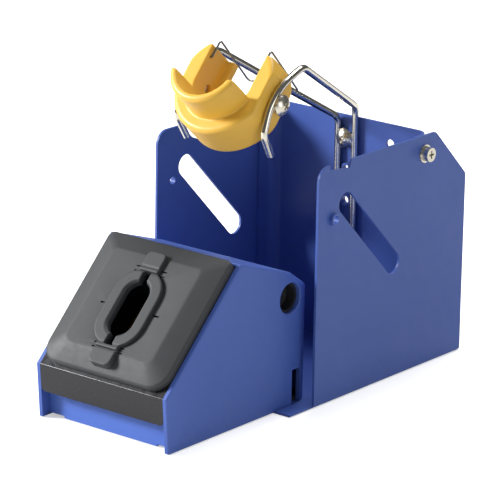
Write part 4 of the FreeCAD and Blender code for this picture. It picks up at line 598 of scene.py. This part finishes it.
def combined(base, extra, cuts):
    """Join blocks to the first one and cut others away, as one mesh."""
    work = scratch("work", base)
    tools = []
    for operation, meshes in (("UNION", extra), ("DIFFERENCE", cuts)):
        for data in meshes:
            tool = scratch("tool", data)
            step = work.modifiers.new("step", "BOOLEAN")
            step.operation = operation
            step.solver = "EXACT"
            step.object = tool
            tools.append(tool)
    mesh = evaluated(work)
    for tool in tools:
        bpy.data.objects.remove(tool)
    return mesh


def melted(mesh, voxel, rounds):
    """Remesh evenly and smooth, so that every edge is softly rounded as in a mould."""
    work = scratch("melt", mesh)
    remesh = work.modifiers.new("remesh", "REMESH")
    remesh.mode = "VOXEL"
    remesh.voxel_size = voxel
    soften_step = work.modifiers.new("smooth", "SMOOTH")
    soften_step.factor = 0.5
    soften_step.iterations = rounds
    data = evaluated(work)
    data.shade_smooth()
    return data


def lip_mesh(rubber):
    """Raised ring with narrow ends, tabs beyond them and thin cuts across the joins."""
    middle, half = rubber.mouth_middle, rubber.mouth_width / 2
    ring, reach = half + rubber.ring_width, rubber.mouth_length / 2 + rubber.ring_width
    low, plateau = rubber.rise - rubber.wall, rubber.rise
    top = plateau + rubber.ring_rise
    body = prism(oval(ring, middle, reach), low, top)
    upper = prism(rounded_loop(rubber.tab_top, middle + reach - rubber.tab_root,
                               middle + reach + rubber.tab_reach, rubber.tab_root_corner,
                               rubber.tab_top_corner), plateau - rubber.tab_sink, top)
    lower = prism(rounded_loop(rubber.tab_low, middle - reach - rubber.tab_reach,
                               middle - reach + rubber.tab_root, rubber.tab_low_corner,
                               rubber.tab_root_corner), rubber.rim, top)
    mouth_reach = rubber.mouth_length / 2
    mouth = prism(oval(half, middle, mouth_reach), 0, top + BEYOND)
    end = mouth_reach + rubber.neck_length
    necks = prism(rounded_loop(rubber.neck_width / 2, middle - end, middle + end,
                               rubber.neck_corner, rubber.neck_corner), 0, top + BEYOND)
    flare = rubber.mouth_flare
    chamfer = prism(oval(half, middle, mouth_reach), top - flare, top + 0.01 * MM,
                    oval(half + flare, middle, mouth_reach + flare))
    data = combined(body, [upper, lower],
                    [mouth, necks, chamfer] + slits(rubber, top - rubber.slit_lip))
    data = melted(data, LIP_VOXEL, LIP_ROUNDS)
    data.transform(slope_frame(rubber))
    return data


def receptacle_mesh():
    """The receptacle's own shape with every edge softly rounded, as it leaves the mould."""
    copy = NODES["iron_receptacle"].data.copy()
    work = bmesh.new()
    work.from_mesh(copy)
    bmesh.ops.remove_doubles(work, verts=work.verts, dist=1e-6)
    work.to_mesh(copy)
    work.free()
    return melted(copy, RESIN_VOXEL, RESIN_ROUNDS)


def bristle_tree(material):
    """Geometry nodes: thin wires that stand out from a core, along a golden spiral."""
    tree = bpy.data.node_groups.new("bristle_pack", "GeometryNodeTree")
    face = tree.interface
    face.new_socket("Geometry", in_out="OUTPUT", socket_type="NodeSocketGeometry")
    for name, kind in (("Count", "NodeSocketInt"), ("Pack Length", "NodeSocketFloat"),
                       ("Core Radius", "NodeSocketFloat"), ("Bristle Length", "NodeSocketFloat"),
                       ("Wire Radius", "NodeSocketFloat"), ("Turn Step", "NodeSocketFloat"),
                       ("Seed", "NodeSocketInt")):
        face.new_socket(name, in_out="INPUT", socket_type=kind)
    inputs = add(tree, "NodeGroupInput").outputs
    index = add(tree, "GeometryNodeInputIndex").outputs["Index"]
    turn = add(tree, "ShaderNodeMath", {0: index, 1: inputs["Turn Step"]}, operation="MULTIPLY")
    share = add(tree, "ShaderNodeMath", {0: index, 1: inputs["Count"]}, operation="DIVIDE")
    height = add(tree, "ShaderNodeMath", {0: share.outputs[0], 1: inputs["Pack Length"]},
                 operation="MULTIPLY")
    across = add(tree, "ShaderNodeMath", {0: turn.outputs[0]}, operation="COSINE")
    along = add(tree, "ShaderNodeMath", {0: turn.outputs[0]}, operation="SINE")
    outward = add(tree, "ShaderNodeCombineXYZ", {"X": across.outputs[0], "Y": along.outputs[0]})
    ring = add(tree, "ShaderNodeVectorMath",
               {0: outward.outputs[0], "Scale": inputs["Core Radius"]}, operation="SCALE")
    lift = add(tree, "ShaderNodeCombineXYZ", {"Z": height.outputs[0]})
    place = add(tree, "ShaderNodeVectorMath", {0: ring.outputs[0], 1: lift.outputs[0]},
                operation="ADD")
    points = add(tree, "GeometryNodePoints",
                 {"Count": inputs["Count"], "Position": place.outputs[0]})
    wire = add(tree, "GeometryNodeMeshCylinder",
               {"Vertices": 4, "Radius": inputs["Wire Radius"], "Depth": inputs["Bristle Length"]})
    half = add(tree, "ShaderNodeMath", {0: inputs["Bristle Length"], 1: 0.5},
               operation="MULTIPLY")
    stand = add(tree, "ShaderNodeCombineXYZ", {"Z": half.outputs[0]})
    raised = add(tree, "GeometryNodeTransform",
                 {"Geometry": wire.outputs["Mesh"], "Translation": stand.outputs[0]})
    wander = add(tree, "FunctionNodeRandomValue",
                 {"Min": [-part for part in LEAN], "Max": LEAN, "Seed": inputs["Seed"]},
                 data_type="FLOAT_VECTOR")
    lean = add(tree, "ShaderNodeVectorMath", {0: outward.outputs[0], 1: wander.outputs[0]},
               operation="ADD")
    aim = add(tree, "FunctionNodeAlignRotationToVector", {"Vector": lean.outputs[0]}, axis="Z")
    placed = add(tree, "GeometryNodeInstanceOnPoints",
                 {"Points": points.outputs[0], "Instance": raised.outputs[0],
                  "Rotation": aim.outputs[0]})
    real = add(tree, "GeometryNodeRealizeInstances", {"Geometry": placed.outputs[0]})
    coated = add(tree, "GeometryNodeSetMaterial",
                 {"Geometry": real.outputs[0], "Material": material})
    add(tree, "NodeGroupOutput", {"Geometry": coated.outputs[0]})
    return tree


def bristle_mesh(tree, side, brushes):
    """One brush's bristles, placed on its core."""
    low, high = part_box(f"brush_core_{side}")
    pack_low, pack_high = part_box(f"brush_bristles_{side}")
    core = (high.x - low.x) / 2
    outer = (pack_high.x - pack_low.x) / 2
    centre = (pack_low + pack_high) / 2
    # a cylinder of radius r and length l at 45 degrees spans (l + 2 r) / sqrt 2 along y
    span = (pack_high.y - pack_low.y) * math.sqrt(2) - outer * 2
    work = scratch("bristles", bpy.data.meshes.new("bristles"))
    step = work.modifiers.new("bristles", "NODES")
    step.node_group = tree
    values = {"Count": brushes.count, "Pack Length": span, "Core Radius": core - ROOTED,
              "Bristle Length": outer - core + ROOTED - TRIMMED, "Wire Radius": brushes.wire,
              "Turn Step": GOLDEN_ANGLE, "Seed": brushes.seed}
    for item in tree.interface.items_tree:
        if item.in_out == "INPUT":
            step[item.identifier] = values[item.name]
    mesh = evaluated(work)
    up_slope = Matrix.Rotation(-SLOPE, 4, "X")
    mesh.transform(Matrix.Translation(centre) @ up_slope
                   @ Matrix.Translation(Vector((0, 0, -span / 2))))
    return mesh


# ---------------------------------------------------------------- operators
class STATION_OT_holder(bpy.types.Operator):
    """Powder coat the holder sheet and its bracket"""

    bl_idname = "station.holder"
    bl_label = "Holder and Bracket"

    def execute(self, context):
        paint(powder_coat(context.scene.station_colours.sheet_blue), "holder_base", "rear_bracket")
        return {"FINISHED"}


class STATION_OT_case(bpy.types.Operator):
    """Finish the cleaner's case, panel, plate and feet"""

    bl_idname = "station.case"
    bl_label = "Cleaner Case"

    def execute(self, context):
        colours = context.scene.station_colours
        paint(moulded_abs("moulded_abs_case", colours.case_blue), "cleaner_case")
        # the panel's base colour is partly painted light: lighter than the case blue because it
        # faces the front
        paint(moulded_abs("moulded_abs_panel", colours.panel_blue), "front_panel")
        paint(metallic_lacquer(colours.plate_grey), "folded_plate")
        paint(black_rubber(), "cleaner_feet")
        return {"FINISHED"}


class STATION_OT_rubber(bpy.types.Operator):
    """Build the rubber cover and the lip round its mouth"""

    bl_idname = "station.rubber"
    bl_label = "Rubber Cover and Lip"

    def execute(self, context):
        scene = context.scene
        material = silicone_rubber(scene.station_colours.rubber_grey)
        rubber = scene.station_rubber
        new_piece("moulded_cover", cover_mesh(rubber), material, "cover", "rubber_grey",
                  "rubber_cover")
        new_piece("moulded_lip", lip_mesh(rubber), material, "cover", "rubber_grey", "mouth_lip")
        return {"FINISHED"}


class STATION_OT_receptacle(bpy.types.Operator):
    """Build the soft-edged resin receptacle"""

    bl_idname = "station.receptacle"
    bl_label = "Iron Receptacle"

    def execute(self, context):
        material = moulded_resin(context.scene.station_colours.resin_yellow)
        new_piece("moulded_receptacle", receptacle_mesh(), material, "receptacle",
                  "resin_yellow", "iron_receptacle")
        return {"FINISHED"}


class STATION_OT_brushes(bpy.types.Operator):
    """Grow the brass bristles of both brushes"""

    bl_idname = "station.brushes"
    bl_label = "Brushes"

    def execute(self, context):
        scene = context.scene
        material = drawn_brass(scene.station_colours.brass)
        tree = bristle_tree(material)
        for side in ("left", "right"):
            mesh = bristle_mesh(tree, side, scene.station_brushes)
            new_piece(f"brass_bristles_{side}", mesh, material, f"brush_{side}", "brass_wire",
                      f"brush_bristles_{side}")
        return {"FINISHED"}


class STATION_OT_wirework(bpy.types.Operator):
    """Plate the arms and finish the bare spring wire of the bail"""

    bl_idname = "station.wirework"
    bl_label = "Wire Arms and Bail"

    def execute(self, context):
        material = nickel_plate("nickel_plated_wire", context.scene.station_colours.nickel,
                                0.1, 0.2)
        paint(material, "wire_arm_left", "wire_arm_right")
        paint(spring_wire(), "rest_bail")
        return {"FINISHED"}


class STATION_OT_fasteners(bpy.types.Operator):
    """Plate the screws and washers"""

    bl_idname = "station.fasteners"
    bl_label = "Fasteners"

    def execute(self, context):
        bright = nickel_plate("nickel_plated_screw", context.scene.station_colours.nickel,
                              0.2, 0.32)
        paint(bright, "bracket_screws", "bracket_flat_washers", "bracket_spring_washers",
              "clamp_screw", "receptacle_screws", "receptacle_washers")
        return {"FINISHED"}


class STATION_OT_inside(bpy.types.Operator):
    """Finish the drive, the tray, the board and the inlet inside the cleaner"""

    bl_idname = "station.inside"
    bl_label = "Inside the Cleaner"

    def execute(self, context):
        paint(zinc_plate(), "gear_plate", "brush_shaft_left", "brush_shaft_right", "idler_pin",
              "motor", "motor_shaft", "case_screws", "base_screws", "base_nuts")
        paint(sintered_bronze(), "brush_bushes", "motor_pinion")
        paint(natural_acetal(), "brush_gear_left", "brush_gear_right", "idler_gear",
              "board_spacers")
        paint(black_nylon(), "brush_chamber", "brush_core_left", "brush_core_right",
              "debris_tray", "cleaner_floor", "board_components", "power_inlet")
        paint(solder_mask(), "control_board")
        return {"FINISHED"}


class STATION_OT_stage(bpy.types.Operator):
    """Set the pale floor, the soft light and the camera"""

    bl_idname = "station.stage"
    bl_label = "Stage"

    def execute(self, context):
        stage = context.scene.station_stage
        make_floor(stage.glow)
        make_light("key", stage.key, *KEY_LIGHT)
        make_light("fill", stage.fill, *FILL_LIGHT)
        make_light("top", stage.top, *TOP_LIGHT)
        make_surround(stage.sky)
        make_camera(stage)
        context.scene.view_settings.view_transform = "Standard"
        return {"FINISHED"}


def middle_of_station():
    low, high = (Vector(corner) for corner in CAD_BOX)
    return (low + high) / 2


def make_floor(glow):
    """A plain pale floor, far larger than the view, that looks lighter to the camera alone."""
    mesh = bmesh.new()
    bmesh.ops.create_grid(mesh, x_segments=1, y_segments=1, size=FLOOR_HALF)
    data = bpy.data.meshes.new("floor")
    mesh.to_mesh(data)
    mesh.free()
    floor = bpy.data.objects.new("floor", data)
    bpy.context.scene.collection.objects.link(floor)
    material, tree, shader, coords = new_material("pale_matt_floor")
    tree.links.new(tint(tree, grain(tree, coords, 220), linear("#F1F1EF"), 0.99, 1.01),
                   shader.inputs["Base Color"])
    surface(shader, roughness=0.85, emission_color=(1, 1, 1, 1))
    seen = add(tree, "ShaderNodeLightPath").outputs["Is Camera Ray"]
    lift = add(tree, "ShaderNodeMath", {0: seen, 1: glow}, operation="MULTIPLY")
    tree.links.new(lift.outputs[0], shader.inputs["Emission Strength"])
    data.materials.append(material)


def make_light(name, power, size, place):
    """A square soft light that faces the middle of the station."""
    lamp = bpy.data.lights.new(name, "AREA")
    lamp.energy = power
    lamp.size = size
    light = bpy.data.objects.new(name, lamp)
    light.location = place
    light.rotation_euler = (middle_of_station() - place).to_track_quat("-Z", "Y").to_euler()
    bpy.context.scene.collection.objects.link(light)


def make_surround(strength):
    """A pale even surround."""
    world = bpy.data.worlds.new("surround")
    world.use_nodes = True
    world.node_tree.nodes.clear()
    sky = add(world.node_tree, "ShaderNodeBackground",
              {"Color": linear("#F4F5F7"), "Strength": strength})
    add(world.node_tree, "ShaderNodeOutputWorld", {"Surface": sky.outputs[0]})
    bpy.context.scene.world = world


def make_camera(stage):
    """A long lens that looks down on the station from its right front corner."""
    azimuth, elevation = stage.azimuth, stage.elevation
    back = Vector((math.sin(azimuth) * math.cos(elevation),
                   -math.cos(azimuth) * math.cos(elevation), math.sin(elevation)))
    level = (-back).cross(Vector((0, 0, 1))).normalized()
    upright = level.cross(-back)
    right = level * math.cos(stage.roll) + upright * math.sin(stage.roll)
    up = right.cross(-back)
    data = bpy.data.cameras.new("camera")
    data.lens = stage.lens
    data.sensor_width = SENSOR
    camera = bpy.data.objects.new("camera", data)
    turn = Matrix((right, up, back)).transposed().to_4x4()
    camera.matrix_world = Matrix.Translation(AIM + back * stage.distance) @ turn
    bpy.context.scene.collection.objects.link(camera)
    bpy.context.scene.camera = camera


class STATION_PT_panel(bpy.types.Panel):
    """Sidebar panel with the station's settings and steps"""

    bl_label = "Soldering Station"
    bl_idname = "STATION_PT_panel"
    bl_space_type = "VIEW_3D"
    bl_region_type = "UI"
    bl_category = "Station"

    def draw(self, context):
        for attribute, group in SETTINGS:
            box = self.layout.box()
            box.label(text=group.__doc__)
            for name in group.__annotations__:
                box.prop(getattr(context.scene, attribute), name)
        for step in STEPS:
            self.layout.operator(step.bl_idname)


SETTINGS = (("station_colours", StationColours), ("station_rubber", StationRubber),
            ("station_brushes", StationBrushes), ("station_stage", StationStage))
STEPS = (STATION_OT_holder, STATION_OT_case, STATION_OT_rubber, STATION_OT_receptacle,
         STATION_OT_brushes, STATION_OT_wirework, STATION_OT_fasteners, STATION_OT_inside,
         STATION_OT_stage)


def register():
    for attribute, group in SETTINGS:
        bpy.utils.register_class(group)
        setattr(bpy.types.Scene, attribute, PointerProperty(type=group))
    for item in STEPS + (STATION_PT_panel,):
        bpy.utils.register_class(item)


def unregister():
    for item in (STATION_PT_panel,) + STEPS[::-1]:
        bpy.utils.unregister_class(item)
    for attribute, group in reversed(SETTINGS):
        delattr(bpy.types.Scene, attribute)
        bpy.utils.unregister_class(group)


def main():
    register()
    for step in STEPS:
        family, name = step.bl_idname.split(".")
        getattr(getattr(bpy.ops, family), name)()


if __name__ == "__main__":
    main()
